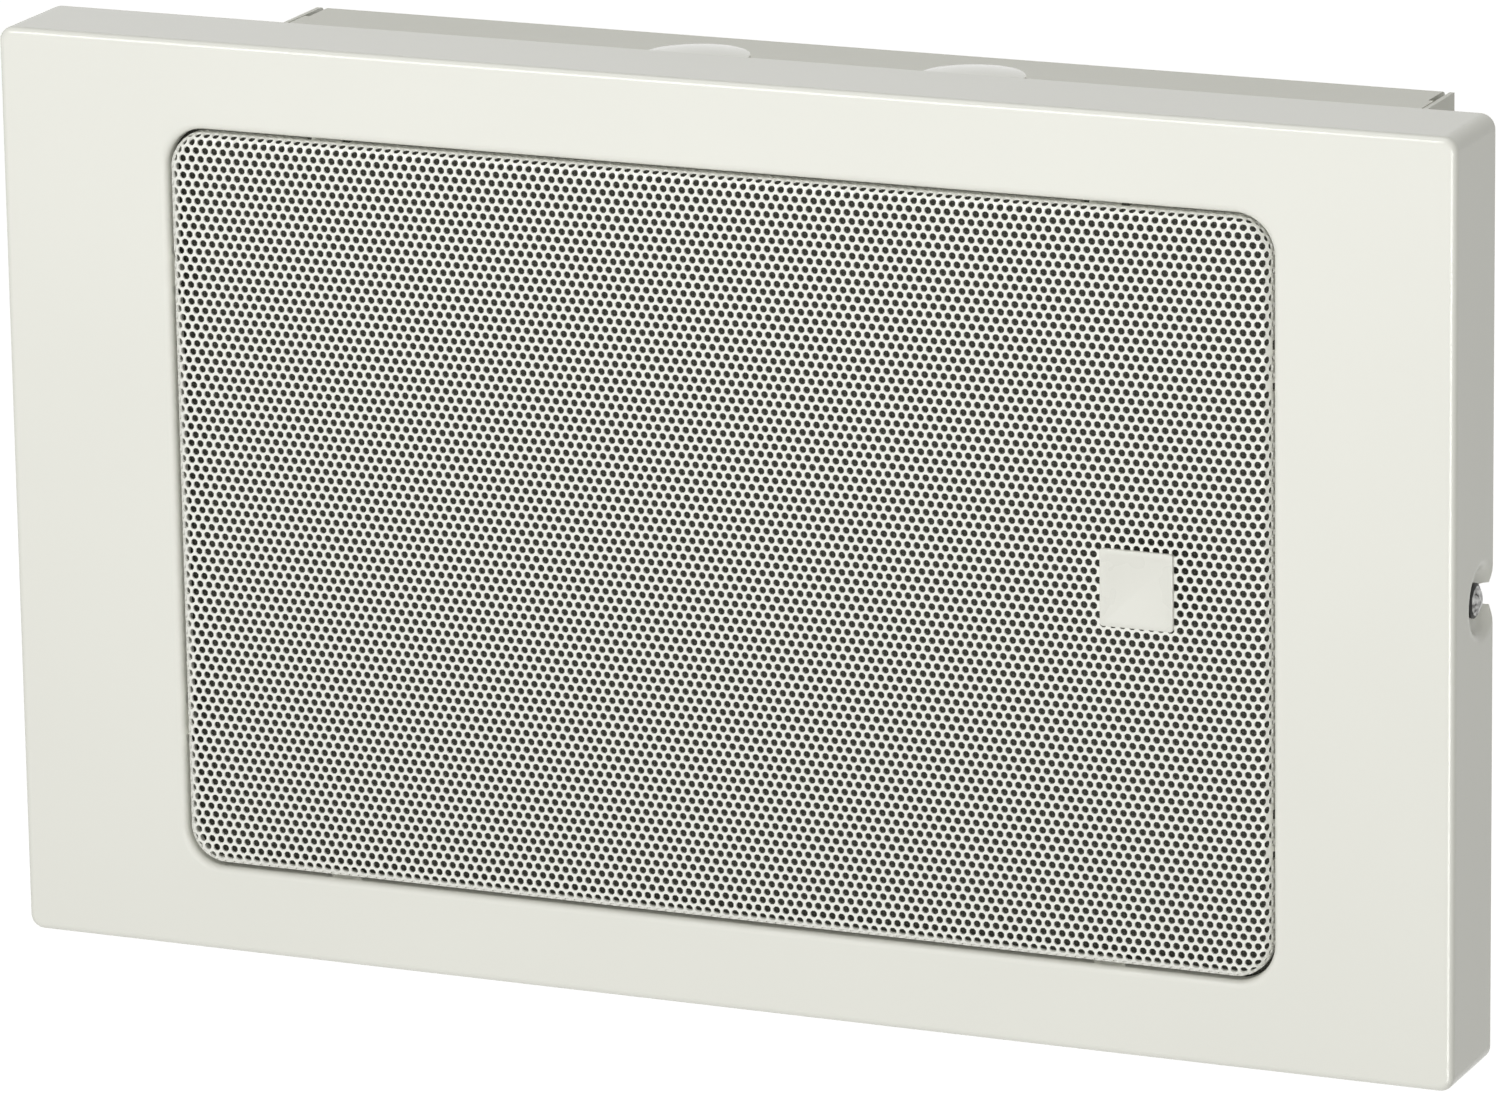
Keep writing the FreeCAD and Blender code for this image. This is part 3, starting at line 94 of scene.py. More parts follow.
FRAME_BLACK = (0.05, 0.05, 0.05)
GASKET_BLACK = (0.06, 0.06, 0.06)
CONE_PAPER = (0.07, 0.065, 0.06)
SURROUND_BLACK = (0.05, 0.05, 0.05)
SPIDER_AMBER = (0.55, 0.36, 0.14)
FORMER_PAPER = (0.62, 0.48, 0.30)
COPPER = (0.60, 0.27, 0.12)
FERRITE = (0.10, 0.10, 0.105)
MAGNET_STEEL = (0.62, 0.60, 0.52)
FIBRE_BOARD = (0.36, 0.20, 0.09)
TAG_BRASS = (0.70, 0.66, 0.55)
ZINC = (0.58, 0.59, 0.58)
CORE_STEEL = (0.20, 0.20, 0.21)
BOBBIN_CREAM = (0.75, 0.74, 0.68)
BLOCK_BLACK = (0.04, 0.04, 0.04)

OBJECT_MIDDLE = (0.0, -0.06, 0.0)
KEY_PLACE = (-0.1, -0.2, 0.9)
KEY_SIZE = (0.9, 0.4)
FRONT_PLACE = (0.0, -0.87, 0.0)
FRONT_TARGET = (0.0, -0.06, 0.45)
FRONT_SIZE = (1.2, 0.3)
BACK_PLACE = (0.0, 1.1, 0.0)
BACK_TARGET = (0.0, 0.0, 0.0)
BACK_SIZE = (0.3, 0.16)
FOLD_PLACE = (-0.136, -0.364, 0.28)
FOLD_TARGET = (0.0, -0.087, 0.095)
FOLD_SIZE = (0.42, 0.175)
FOLD_SPREAD = 32.0
EDGE_PLACE = (0.3585, -0.5236, -0.134)
EDGE_TARGET = (0.155, -0.087, 0.0)
EDGE_SIZE = (0.2, 0.36)
EDGE_SPREAD = 40.0

FLOOR_HALF = 6.0
FLOOR_CLOUDS = 6.0
FLOOR_GLOW = 0.78
FLOOR_DARK = (0.86, 0.86, 0.86, 1.0)
FLOOR_PALE = (0.90, 0.90, 0.90, 1.0)


def length_value(name, description, default):
    """A size in metres that a user may change."""
    return FloatProperty(name=name, description=description, default=default, unit="LENGTH", precision=5)


def colour_value(name, description, default):
    """A linear colour that a user may change."""
    return FloatVectorProperty(name=name, description=description, default=default, subtype="COLOR",
                               size=3, min=0.0, max=1.0)


class GrilleSizes(bpy.types.PropertyGroup):
    """Sizes of the perforated grille sheet."""
    width: length_value("Width", "Width of the grille over its bends", 0.2347)
    height: length_value("Height", "Height of the grille over its bends", 0.1527)
    lean_x: length_value("Lean X", "How far the grille sits to the right in its opening", 0.00015)
    lean_z: length_value("Lean Z", "How far the grille sits up in its opening", 0.00015)
    corner: length_value("Corner", "Corner radius of the outline", 0.0077)
    bend: length_value("Edge bend", "Outside radius of the rolled edge", 0.0025)
    skirt: length_value("Skirt", "Straight rim behind the rolled edge", 0.0018)
    sheet: length_value("Sheet", "Thickness of the grille sheet", 0.0004)
    pitch: length_value("Hole pitch", "Distance between neighbouring holes", 0.0020)
    hole: length_value("Hole", "Width of a hole", 0.00155)
    shift_x: length_value("Pattern shift X", "Sideways start of the hole pattern", -0.00085)
    shift_z: length_value("Pattern shift Z", "Upward start of the hole pattern", 0.00004)
    tab_x: length_value("Top tab", "Distance of the upper and lower tabs from the middle", 0.083)
    tab_z: length_value("Side tab", "Distance of the side tabs from the middle", 0.047)
    tab_width: length_value("Tab width", "Width of a holding tab", 0.0065)
    tab_reach: length_value("Tab reach", "How far a holding tab stands out behind the panel", 0.0036)
    notch: length_value("Notch", "Width of the relief notch beside a tab", 0.0018)
    sides: IntProperty(name="Hole sides", description="Sides of the polygon of a hole", default=8,
                       min=6, max=16)


class SpeakerColours(bpy.types.PropertyGroup):
    """Colours of the finishes that show."""
    panel: colour_value("Panel paint", "Off-white paint of the front panel", (0.84, 0.84, 0.784))
    grille: colour_value("Grille paint", "Whiter paint of the grille", (0.90, 0.90, 0.847))
    box: colour_value("Box paint", "Off-white paint of the back box", (0.735, 0.735, 0.667))
    badge: colour_value("Badge", "Bare badge plate", (0.79, 0.79, 0.735))
    plug: colour_value("Plugs", "Moulded plugs in the cable entries", (0.94, 0.94, 0.88))
    cloth: colour_value("Cloth", "Dark cloth behind the grille", (0.115, 0.115, 0.095))
    steel: colour_value("Plated steel", "Bright plated fixings", (0.66, 0.66, 0.64))
    screw: colour_value("Side screws", "Dull plated screws in the panel's sides", (0.30, 0.30, 0.295))


class StageSizes(bpy.types.PropertyGroup):
    """Camera, light and floor."""
    focal: FloatProperty(name="Focal length", description="Focal length in pixels of the picture",
                         default=9640.0)
    place: FloatVectorProperty(name="Camera", description="Place of the camera", subtype="TRANSLATION",
                               size=3, default=(0.7359, -1.7738, 0.4961))
    turn: FloatProperty(name="Turn", description="Turn of the camera about the upright", subtype="ANGLE",
                        default=math.radians(23.334))
    tilt: FloatProperty(name="Tilt", description="Tilt of the camera above the level", subtype="ANGLE",
                        default=math.radians(-15.130))
    roll: FloatProperty(name="Roll", description="Roll of the camera about its view", subtype="ANGLE",
                        default=math.radians(0.867))
    key: FloatProperty(name="Key light", description="Power of the soft light from above",
                       default=2.1, unit="POWER")
    front: FloatProperty(name="Front light", description="Power of the soft light from the front",
                         default=5.72, unit="POWER")
    ambient: FloatProperty(name="Room light", description="Strength of the even light", default=0.305)
    room: colour_value("Room tint", "Colour of the even light", (1.0, 1.0, 0.93))
    back: FloatProperty(name="Back light", description="Power of the soft light on the wall side",
                        default=4.5, unit="POWER")
    fold: FloatProperty(name="Fold light", description="Power of the gleam on the panel's upper fold",
                        default=0.08, unit="POWER")
    edge: FloatProperty(name="Edge light", description="Power of the gleam on the panel's right fold",
                        default=0.13, unit="POWER")
    floor_drop: length_value("Floor drop", "Distance of the floor below the panel", 0.8)


def signed_edge(points, half, corner):
    """Distance outside a rounded rectangle and the outward direction there."""
    beyond = np.abs(points) - (np.array(half) - corner)
    outside = np.maximum(beyond, 0.0)
    reach = np.linalg.norm(outside, axis=1)
    distance = reach + np.minimum(beyond.max(axis=1), 0.0) - corner
    safe = np.where(reach > 0, reach, 1.0)[:, None]
    return distance, np.sign(points) * outside / safe


class GrilleSheet:
    """The grille as a flat pattern of holes that is rolled over its edge."""
    tab_bend = 0.0004
    tab_drop = 0.0008
    notch_share = 0.97
    rim_room = 0.0003
    notch_room = 0.0002
    bend_room = 0.0003
    hole_room = 0.00015
    spare_holes = 4
    corner_steps = 24
    roll_rows = 8
    roll_step = 0.0012
    roll_turns = np.radians(np.arange(4.0, 90.0, 7.0))
    fold_rows = 5
    fold_points = 9

    def __init__(self, sizes, front):
        self.sizes = sizes
        self.front = front
        self.half = (sizes.width / 2 - sizes.bend, sizes.height / 2 - sizes.bend)
        self.corner = sizes.corner - sizes.bend
        self.roll_end = sizes.bend * math.pi / 2
        self.rim_end = self.roll_end + sizes.skirt
        self.row = sizes.pitch * math.sqrt(3) / 2
        self.notch_top = self.roll_end * self.notch_share
        self.tab_root = self.rim_end + self.tab_drop
        self.tab_flat = self.tab_root + self.tab_bend * math.pi / 2
        self.tab_end = self.tab_flat + sizes.tab_reach

    def edge_line(self, tabs):
        """Points along one edge as distance along it and out from the flat, with tabs and notches."""
        s = self.sizes
        line = []
        for tab in sorted(tabs):
            inner, outer = s.tab_width / 2, s.tab_width / 2 + s.notch
            line += [(tab - outer, self.rim_end), (tab - outer, self.notch_top),
                     (tab - inner, self.notch_top), (tab - inner, self.tab_end),
                     (tab + inner, self.tab_end), (tab + inner, self.notch_top),
                     (tab + outer, self.notch_top), (tab + outer, self.rim_end)]
        return line

    def outline(self):
        """The flat outline, once round anticlockwise."""
        s = self.sizes
        a, b = self.half
        edges = [(self.edge_line((-s.tab_x, s.tab_x)), lambda u, d: (u, -b - d)),
                 (self.edge_line((-s.tab_z, s.tab_z)), lambda u, d: (a + d, u)),
                 (self.edge_line((-s.tab_x, s.tab_x)), lambda u, d: (-u, b + d)),
                 (self.edge_line((-s.tab_z, s.tab_z)), lambda u, d: (-a - d, -u))]
        centres = [(a, -b), (a, b), (-a, b), (-a, -b)]
        points = []
        for side, (line, place) in enumerate(edges):
            points += [place(u, d) for u, d in line]
            x, y = centres[side]
            x -= math.copysign(self.corner, x)
            y -= math.copysign(self.corner, y)
            for step in range(self.corner_steps + 1):
                turn = math.radians(90 * side - 90 + 90 * step / self.corner_steps)
                reach = self.corner + self.rim_end
                points.append((x + reach * math.cos(turn), y + reach * math.sin(turn)))
        return np.array(points)

    def beside_tab(self, points, room):
        """Whether points lie in the notches beside the tabs."""
        s = self.sizes
        x, y = np.abs(points).T
        level = np.abs(x - s.tab_x)
        upright = np.abs(y - s.tab_z)
        a, b = self.half
        inner, outer = s.tab_width / 2 - room, s.tab_width / 2 + s.notch + room
        top = (y > b + self.notch_top - room) & (level > inner) & (level < outer)
        side = (x > a + self.notch_top - room) & (upright > inner) & (upright < outer)
        return top | side

    def holes(self):
        """Centres of the staggered holes."""
        s = self.sizes
        rows = int(s.height / self.row / 2) + self.spare_holes
        columns = int(s.width / s.pitch / 2) + self.spare_holes
        j, i = np.mgrid[-rows:rows + 1, -columns:columns + 1]
        x = (i + 0.5 * (j % 2)) * s.pitch + s.shift_x
        centres = np.column_stack([x.ravel(), (j * self.row + s.shift_z).ravel()])
        distance, _ = signed_edge(centres, self.half, self.corner)
        inside = distance < self.rim_end - s.hole / 2 - self.rim_room
        return centres[inside & ~self.beside_tab(centres, s.hole / 2 + self.notch_room)]

    def bend_points(self):
        """Extra points that keep the rolled edge round between the holes."""
        s = self.sizes
        x, z = self.half
        loops = []
        for distance in np.linspace(0.0, self.roll_end, self.roll_rows):
            corner = self.corner + distance
            u = np.arange(-x + self.corner, x - self.corner, self.roll_step)
            v = np.arange(-z + self.corner, z - self.corner, self.roll_step)
            arcs = np.column_stack([np.cos(self.roll_turns), np.sin(self.roll_turns)]) * corner
            for sign in (-1, 1):
                loops.append(np.column_stack([u, np.full(u.size, sign * (z + distance))]))
                loops.append(np.column_stack([np.full(v.size, sign * (x + distance)), v]))
                for other in (-1, 1):
                    middle = np.array([sign * (x - self.corner), other * (z - self.corner)])
                    loops.append(middle + arcs * np.array([sign, other]))
        folds = np.linspace(self.tab_root, self.tab_flat, self.fold_rows)
        for distance in np.concatenate([[self.roll_end], folds]):
            u = np.linspace(-s.tab_width / 2, s.tab_width / 2, self.fold_points)[1:-1]
            for sign in (-1, 1):
                for other in (-1, 1):
                    level = np.full(u.size, other * (z + distance))
                    upright = np.full(u.size, other * (x + distance))
                    loops.append(np.column_stack([sign * s.tab_x + u, level]))
                    loops.append(np.column_stack([upright, sign * s.tab_z + u]))
        points = np.vstack(loops)
        points = points[~self.beside_tab(points, self.bend_room)]
        clear = np.ones(len(points), bool)
        nearest = np.round((points[:, 1] - s.shift_z) / self.row).astype(int)
        for step in (-1, 0, 1):
            j = nearest + step
            offset = 0.5 * (j % 2)
            i = np.round((points[:, 0] - s.shift_x) / s.pitch - offset)
            middle = np.column_stack([(i + offset) * s.pitch + s.shift_x, j * self.row + s.shift_z])
            clear &= np.linalg.norm(points - middle, axis=1) > s.hole / 2 + self.hole_room
        return points[clear]

    def rolled(self, points, depth):
        """Places on the rolled sheet, depth below its outer face."""
        s = self.sizes
        distance, outward = signed_edge(points, self.half, self.corner)
        turn = np.clip(distance / s.bend, 0.0, math.pi / 2)
        straight = np.clip(distance, self.roll_end, self.tab_root) - self.roll_end
        back_turn = np.clip((distance - self.tab_root) / self.tab_bend, 0.0, math.pi / 2)
        reach = np.maximum(distance - self.tab_flat, 0.0)
        out = s.bend * np.sin(turn) + self.tab_bend * (1 - np.cos(back_turn)) + reach
        down = s.bend * (1 - np.cos(turn)) + straight + self.tab_bend * np.sin(back_turn)
        lean = turn - back_turn
        out -= depth * np.sin(lean)
        down += depth * np.cos(lean)
        base = points - outward * np.maximum(distance, 0.0)[:, None]
        plane = base + outward * np.where(distance > 0, out, 0.0)[:, None]
        level = np.where(distance > 0, down, depth)
        return np.column_stack([plane[:, 0] + s.lean_x, self.front + level, plane[:, 1] + s.lean_z])

    def triangles(self):
        """Flat points and the triangles of the sheet between its holes."""
        s = self.sizes
        outline = self.outline()
        centres = self.holes()
        turns = 2 * math.pi * (np.arange(s.sides) + 0.5) / s.sides
        ring = np.column_stack([np.cos(turns), np.sin(turns)]) * s.hole / 2
        rims = (centres[:, None, :] + ring[None]).reshape(-1, 2)
        extra = self.bend_points()
        points = np.vstack([rims, outline, extra])
        number = np.arange(len(rims)).reshape(-1, s.sides)
        edges = np.column_stack([number.ravel(), np.roll(number, -1, axis=1).ravel()])
        start = len(rims)
        border = np.arange(start, start + len(outline))
        edges = np.vstack([edges, np.column_stack([border, np.roll(border, -1)])])
        places, _, corners, origins, _, _ = delaunay_2d_cdt(
            [Vector(p) for p in points * MILLIMETRES], edges.tolist(), [], KEEP_INSIDE, MERGE_DISTANCE)
        flat = np.array([tuple(p) for p in places]) / MILLIMETRES
        source = np.array([owner[0] if owner else -1 for owner in origins])
        faces = np.array(corners)
        owner = np.where((source >= 0) & (source < len(rims)), source // s.sides, -1)[faces]
        in_hole = (owner[:, 0] >= 0) & (owner[:, 0] == owner[:, 1]) & (owner[:, 1] == owner[:, 2])
        return flat, faces[~in_hole]


def open_edges(faces):
    """Edges of a triangle list that belong to one triangle only, and that triangle's number."""
    edges = np.vstack([faces[:, [0, 1]], faces[:, [1, 2]], faces[:, [2, 0]]])
    key = np.sort(edges, axis=1)
    _, first, count = np.unique(key, axis=0, return_index=True, return_counts=True)
    single = first[count == 1]
    return edges[single], single % len(faces)


def mesh_piece(name, points, faces, sharp=50.0):
    """A mesh object from points and faces, smooth up to the sharp angle."""
    mesh = bpy.data.meshes.new(name)
    mesh.from_pydata(points.tolist(), [], list(faces))
    mesh.validate()
    mesh.polygons.foreach_set("use_smooth", np.ones(len(mesh.polygons), bool))
    mesh.set_sharp_from_angle(angle=math.radians(sharp))
    mesh.update()
    piece = bpy.data.objects.new(name, mesh)
    bpy.context.scene.collection.objects.link(piece)
    return piece


def rounded_loop(half_x, half_z, corner, steps=6):
    """Points round a rounded rectangle, anticlockwise seen from the front."""
    points = []
    for quarter, (x, z) in enumerate(((1, -1), (1, 1), (-1, 1), (-1, -1))):
        for step in range(steps + 1):
            turn = math.radians(90 * quarter - 90 + 90 * step / steps)
            points.append((x * (half_x - corner) + corner * math.cos(turn),
                           z * (half_z - corner) + corner * math.sin(turn)))
    return np.array(points)


def lofted(name, loops, sharp=30.0):
    """Closed skin over a row of equal loops, with flat ends."""
    count = len(loops[0])
    faces = [list(range(count))[::-1]]
    for ring in range(len(loops) - 1):
        for here in range(count):
            after = (here + 1) % count
            faces.append([ring * count + here, ring * count + after,
                          (ring + 1) * count + after, (ring + 1) * count + here])
    faces.append([(len(loops) - 1) * count + here for here in range(count)])
    return mesh_piece(name, np.vstack(loops), faces, sharp)


def turned_loops(profile, segments=64):
    """Loops round the Z axis for a profile of radius and height."""
    turns = 2 * math.pi * np.arange(segments) / segments
    return [np.column_stack([radius * np.cos(turns), radius * np.sin(turns), np.full(segments, height)])
            for radius, height in profile]


def pan_head(name, radius, rise, thread, shank):
    """Pan-head screw along Z with its crown at zero and a crossed recess."""
    rim = rise * 0.35
    ease = 0.0001
    tip = thread * 0.6
    tip_start = shank * 0.94
    crown_parts = np.linspace(1.0, 0.04, 14)
    recess_long = radius * 0.70
    recess_short = radius * 0.17
    recess_corner = recess_short * 0.3
    recess_levels = ((0.0003, 1.12), (-0.0004, 1.0), (-rise * 0.75, 0.45))
    sphere = (radius ** 2 + (rise - rim) ** 2) / (2 * (rise - rim))
    profile = [(tip, -rise - shank), (thread, -rise - tip_start), (thread, -rise),
               (radius - ease, -rise), (radius, -rise + ease)]
    for part in crown_parts:
        reach = radius * part
        profile.append((reach, math.sqrt(sphere ** 2 - reach ** 2) - sphere))
    head = lofted(name, turned_loops(profile), 40.0)
    cutters = []
    for number in range(2):
        loops = []
        for height, share in recess_levels:
            loop = rounded_loop(recess_long * share, recess_short * (1 + share) / 2, recess_corner, 3)
            if number:
                loop = np.column_stack([-loop[:, 1], loop[:, 0]])
            loops.append(np.column_stack([loop, np.full(len(loop), height)]))
        cutters.append(lofted(f"{name}_cutter_{number}", loops))
    for cutter in cutters:
        modifier = head.modifiers.new("recess", "BOOLEAN")
        modifier.object = cutter
        modifier.solver = "EXACT"
    mesh = bpy.data.meshes.new_from_object(head.evaluated_get(bpy.context.evaluated_depsgraph_get()))
    head.modifiers.clear()
    head.data = mesh
    for cutter in cutters:
        bpy.data.objects.remove(cutter)
    return head


def seat(piece, body, slot, material, *nodes):
    """Lets a piece ride on its body, take its finish and stand for its solids."""
    piece.data.materials.clear()
    piece.data.materials.append(material)
    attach(piece, body)
    if nodes:
        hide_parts(*nodes)


class Finish:
    """A node material that varies its colour, gloss and relief over the surface."""

    def __init__(self, name):
        self.material = bpy.data.materials.new(name)
        self.material.use_nodes = True
        self.nodes = self.material.node_tree.nodes
        self.links = self.material.node_tree.links
        self.shader = self.nodes["Principled BSDF"]
        self.where = self.nodes.new("ShaderNodeTexCoord").outputs["Object"]

    def set(self, **values):
        """Constant values on the shader's own sockets."""
        for socket, value in values.items():
            self.shader.inputs[socket.replace("_", " ").title()].default_value = value
        return self

    def noise(self, scale, detail=3.0, stretch=(1.0, 1.0, 1.0)):
        """A noise pattern with a number of bumps per metre."""
        place = self.nodes.new("ShaderNodeMapping")
        place.inputs["Scale"].default_value = stretch
        self.links.new(self.where, place.inputs["Vector"])
        pattern = self.nodes.new("ShaderNodeTexNoise")
        pattern.inputs["Scale"].default_value = scale
        pattern.inputs["Detail"].default_value = detail
        self.links.new(place.outputs["Vector"], pattern.inputs["Vector"])
        return pattern.outputs["Fac"]

    def bands(self, scale, axis):
        """Even bands across one axis with a number of waves per metre."""
        pattern = self.nodes.new("ShaderNodeTexWave")
        pattern.bands_direction = axis
        pattern.inputs["Scale"].default_value = scale * 2 * math.pi / BAND_SCALE
        self.links.new(self.where, pattern.inputs["Vector"])
        return pattern.outputs["Fac"]

    def rings(self, centre, start, end):
        """Zero inside one radius round a left-to-right axis and one outside another."""
        place = self.nodes.new("ShaderNodeMapping")
        place.inputs["Location"].default_value = (0.0, -centre.y, -centre.z)
        place.inputs["Scale"].default_value = (0.0, 1.0, 1.0)
        self.links.new(self.where, place.inputs["Vector"])
        reach = self.nodes.new("ShaderNodeVectorMath")
        reach.operation = "LENGTH"
        self.links.new(place.outputs["Vector"], reach.inputs[0])
        share = self.nodes.new("ShaderNodeMapRange")
        share.inputs["From Min"].default_value = start
        share.inputs["From Max"].default_value = end
        self.links.new(reach.outputs["Value"], share.inputs["Value"])
        return share.outputs["Result"]

    def combine(self, operation, first, second):
        """Two patterns joined by one sum."""
        node = self.nodes.new("ShaderNodeMath")
        node.operation = operation
        self.links.new(first, node.inputs[0])
        self.links.new(second, node.inputs[1])
        return node.outputs["Value"]

    def tint(self, pattern, low, high):
        """Colour between two shades after a pattern."""
        ramp = self.nodes.new("ShaderNodeValToRGB")
        ramp.color_ramp.elements[0].position = PATTERN_LOW
        ramp.color_ramp.elements[1].position = PATTERN_HIGH
        ramp.color_ramp.elements[0].color = (*low, 1.0)
        ramp.color_ramp.elements[1].color = (*high, 1.0)
        self.links.new(pattern, ramp.inputs["Fac"])
        self.links.new(ramp.outputs["Color"], self.shader.inputs["Base Color"])
        return self

    def gloss(self, pattern, low, high):
        """Roughness between two values after a pattern."""
        reach = self.nodes.new("ShaderNodeMapRange")
        reach.inputs["From Min"].default_value = PATTERN_LOW
        reach.inputs["From Max"].default_value = PATTERN_HIGH
        reach.inputs["To Min"].default_value = low
        reach.inputs["To Max"].default_value = high
        self.links.new(pattern, reach.inputs["Value"])
        self.links.new(reach.outputs["Result"], self.shader.inputs["Roughness"])
        return self

    def relief(self, pattern, height, strength=1.0):
        """Fine relief after a pattern, height in metres."""
        bump = self.nodes.new("ShaderNodeBump")
        bump.inputs["Strength"].default_value = strength
        bump.inputs["Distance"].default_value = height
        self.links.new(pattern, bump.inputs["Height"])
        self.links.new(bump.outputs["Normal"], self.shader.inputs["Normal"])
        return self


def shade(colour, factor):
    """A colour made lighter or darker."""
    return tuple(min(1.0, channel * factor) for channel in colour[:3])


def painted(name, colour, rough=0.24):
    """Stoved paint on steel with a faint orange peel."""
    finish = Finish(name)
    clouds = finish.noise(22.0)
    peel = finish.noise(900.0, detail=2.0)
    finish.tint(clouds, shade(colour, 0.994), shade(colour, 1.006))
    finish.gloss(clouds, rough - 0.02, rough + 0.02)
    finish.relief(peel, height=0.000012, strength=0.35)
    return finish.material


def moulded(name, colour, rough=0.38):
    """Moulded plastic with a fine satin grain."""
    finish = Finish(name)
    clouds = finish.noise(60.0)
    grain = finish.noise(2500.0, detail=2.0)
    finish.tint(clouds, shade(colour, 0.992), shade(colour, 1.008))
    finish.gloss(clouds, rough - 0.03, rough + 0.03)
    finish.relief(grain, height=0.000010, strength=0.4)
    return finish.material


def plated(name, colour, rough=0.3):
    """Bright metal with fine handling marks."""
    finish = Finish(name).set(metallic=1.0)
    marks = finish.noise(700.0, detail=4.0, stretch=(1.0, 3.0, 1.0))
    finish.tint(marks, shade(colour, 0.85), shade(colour, 1.1))
    finish.gloss(marks, rough - 0.08, rough + 0.10)
    finish.relief(marks, height=0.000006, strength=0.3)
    return finish.material


def screw_marks_and_painted_rim_shade(name, colour, centre, radius, rough=0.35):
    """Dull plated screw head with mottled handling marks, whose bright spots are partly painted glints,
    and a painted shade round its edge in place of the shadow between head and dimple.
    """
    finish = Finish(name).set(metallic=1.0)
    marks = finish.noise(900.0, detail=4.0)
    # painted shade: a dark ring near the head's rim, in place of the shadow round the head and the dark
    # reflection on its edge
    edge = finish.rings(centre, radius * 0.82, radius * 0.97)
    # the strong contrast of the marks partly paints glints on the head
    finish.tint(finish.combine("SUBTRACT", marks, edge), shade(colour, 0.12), shade(colour, 2.0))
    finish.gloss(marks, rough - 0.10, rough + 0.10)
    finish.relief(marks, height=0.000010, strength=0.5)
    return finish.material


def woven(name, colour, threads, rough=0.9):
    """Plain cloth of crossing threads, a number of threads per metre."""
    finish = Finish(name)
    weft = finish.bands(threads, "X")
    warp = finish.bands(threads, "Z")
    weave = finish.combine("MULTIPLY", weft, warp)
    fuzz = finish.noise(900.0)
    finish.tint(weave, shade(colour, 0.6), shade(colour, 1.25))
    finish.gloss(fuzz, rough - 0.05, rough + 0.05)
    finish.relief(weave, height=0.00008, strength=0.6)
    return finish.material


def pulped(name, colour, rough=0.85):
    """Pressed paper or board with short fibres."""
    finish = Finish(name)
    fibres = finish.noise(1400.0, detail=6.0, stretch=(1.0, 1.0, 0.35))
    finish.tint(fibres, shade(colour, 0.75), shade(colour, 1.3))
    finish.gloss(fibres, rough - 0.06, rough + 0.06)
    finish.relief(fibres, height=0.00003, strength=0.5)
    return finish.material


def wound(name, colour, turns):
    """Lacquered wire in close turns, a number of turns per metre."""
    finish = Finish(name).set(metallic=0.85)
    wires = finish.bands(turns, "Y")
    finish.tint(wires, shade(colour, 0.55), shade(colour, 1.15))
    finish.gloss(wires, low=0.45, high=0.25)
    finish.relief(wires, height=0.0001, strength=0.7)
    return finish.material


def stacked(name, colour, sheets):
    """Stacked laminations seen on edge, a number of sheets per metre."""
    finish = Finish(name).set(metallic=0.7)
    layers = finish.bands(sheets, "Z")
    finish.tint(layers, shade(colour, 0.6), shade(colour, 1.2))
    finish.gloss(layers, low=0.6, high=0.4)
    finish.relief(layers, height=0.00006, strength=0.6)
    return finish.material


def sintered(name, colour):
    """Dark ground ceramic with small pits."""
    finish = Finish(name)
    pits = finish.noise(1600.0, detail=5.0)
    finish.tint(pits, shade(colour, 0.7), shade(colour, 1.3))
    finish.gloss(pits, low=0.55, high=0.75)
    finish.relief(pits, height=0.00003, strength=0.5)
    return finish.material


def cover(material, *nodes):
    """Gives carried-over solids their finish."""
    for node in nodes:
        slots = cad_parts[node].data.materials
        slots.clear()
        slots.append(material)


class SPEAKER_OT_cabinet(bpy.types.Operator):
    """Paint the front panel and the back box and finish their plugs"""
    bl_idname = "speaker.cabinet"
    bl_label = "Finish the cabinet"

    def execute(self, context):
        colours = context.scene.speaker_colours
        cover(painted("panel_paint_finish", colours.panel), "front_panel")
        cover(painted("box_paint_finish", colours.box, rough=0.4), "back_box")
        cover(moulded("plug_plastic_finish", colours.plug, rough=0.1), "cable_entry_plugs")
        return {"FINISHED"}


class SPEAKER_OT_grille(bpy.types.Operator):
    """Make the perforated grille with its rolled edge and holding tabs"""
    bl_idname = "speaker.grille"
    bl_label = "Make the grille"

    def execute(self, context):
        sizes = context.scene.speaker_grille
        sheet = GrilleSheet(sizes, GRILLE_FRONT)
        flat, faces = sheet.triangles()
        outer = sheet.rolled(flat, 0.0)
        inner = sheet.rolled(flat, sizes.sheet)
        count = len(flat)
        rim, rim_owner = open_edges(faces)
        walls = np.vstack([np.column_stack([rim[:, 1], rim[:, 0], rim[:, 0] + count]),
                           np.column_stack([rim[:, 1], rim[:, 0] + count, rim[:, 1] + count])])
        points = np.vstack([outer, inner])
        every = np.vstack([faces, faces[:, ::-1] + count, walls])
        middle = flat[faces].mean(axis=1)[:, 0]
        across = np.concatenate([middle, middle, middle[rim_owner], middle[rim_owner]])
        half_strip = sizes.width / 6
        paint = painted("grille_paint_finish", context.scene.speaker_colours.grille, rough=0.3)
        strips = [("grille_left", across < -half_strip),
                  ("grille_middle", (across >= -half_strip) & (across < half_strip)),
                  ("grille_right", across >= half_strip)]
        for name, chosen in strips:
            used, renumbered = np.unique(every[chosen], return_inverse=True)
            piece = mesh_piece(name, points[used], renumbered.reshape(-1, 3))
            seat(piece, "cabinet", "grille_paint", paint, "grille")
        return {"FINISHED"}


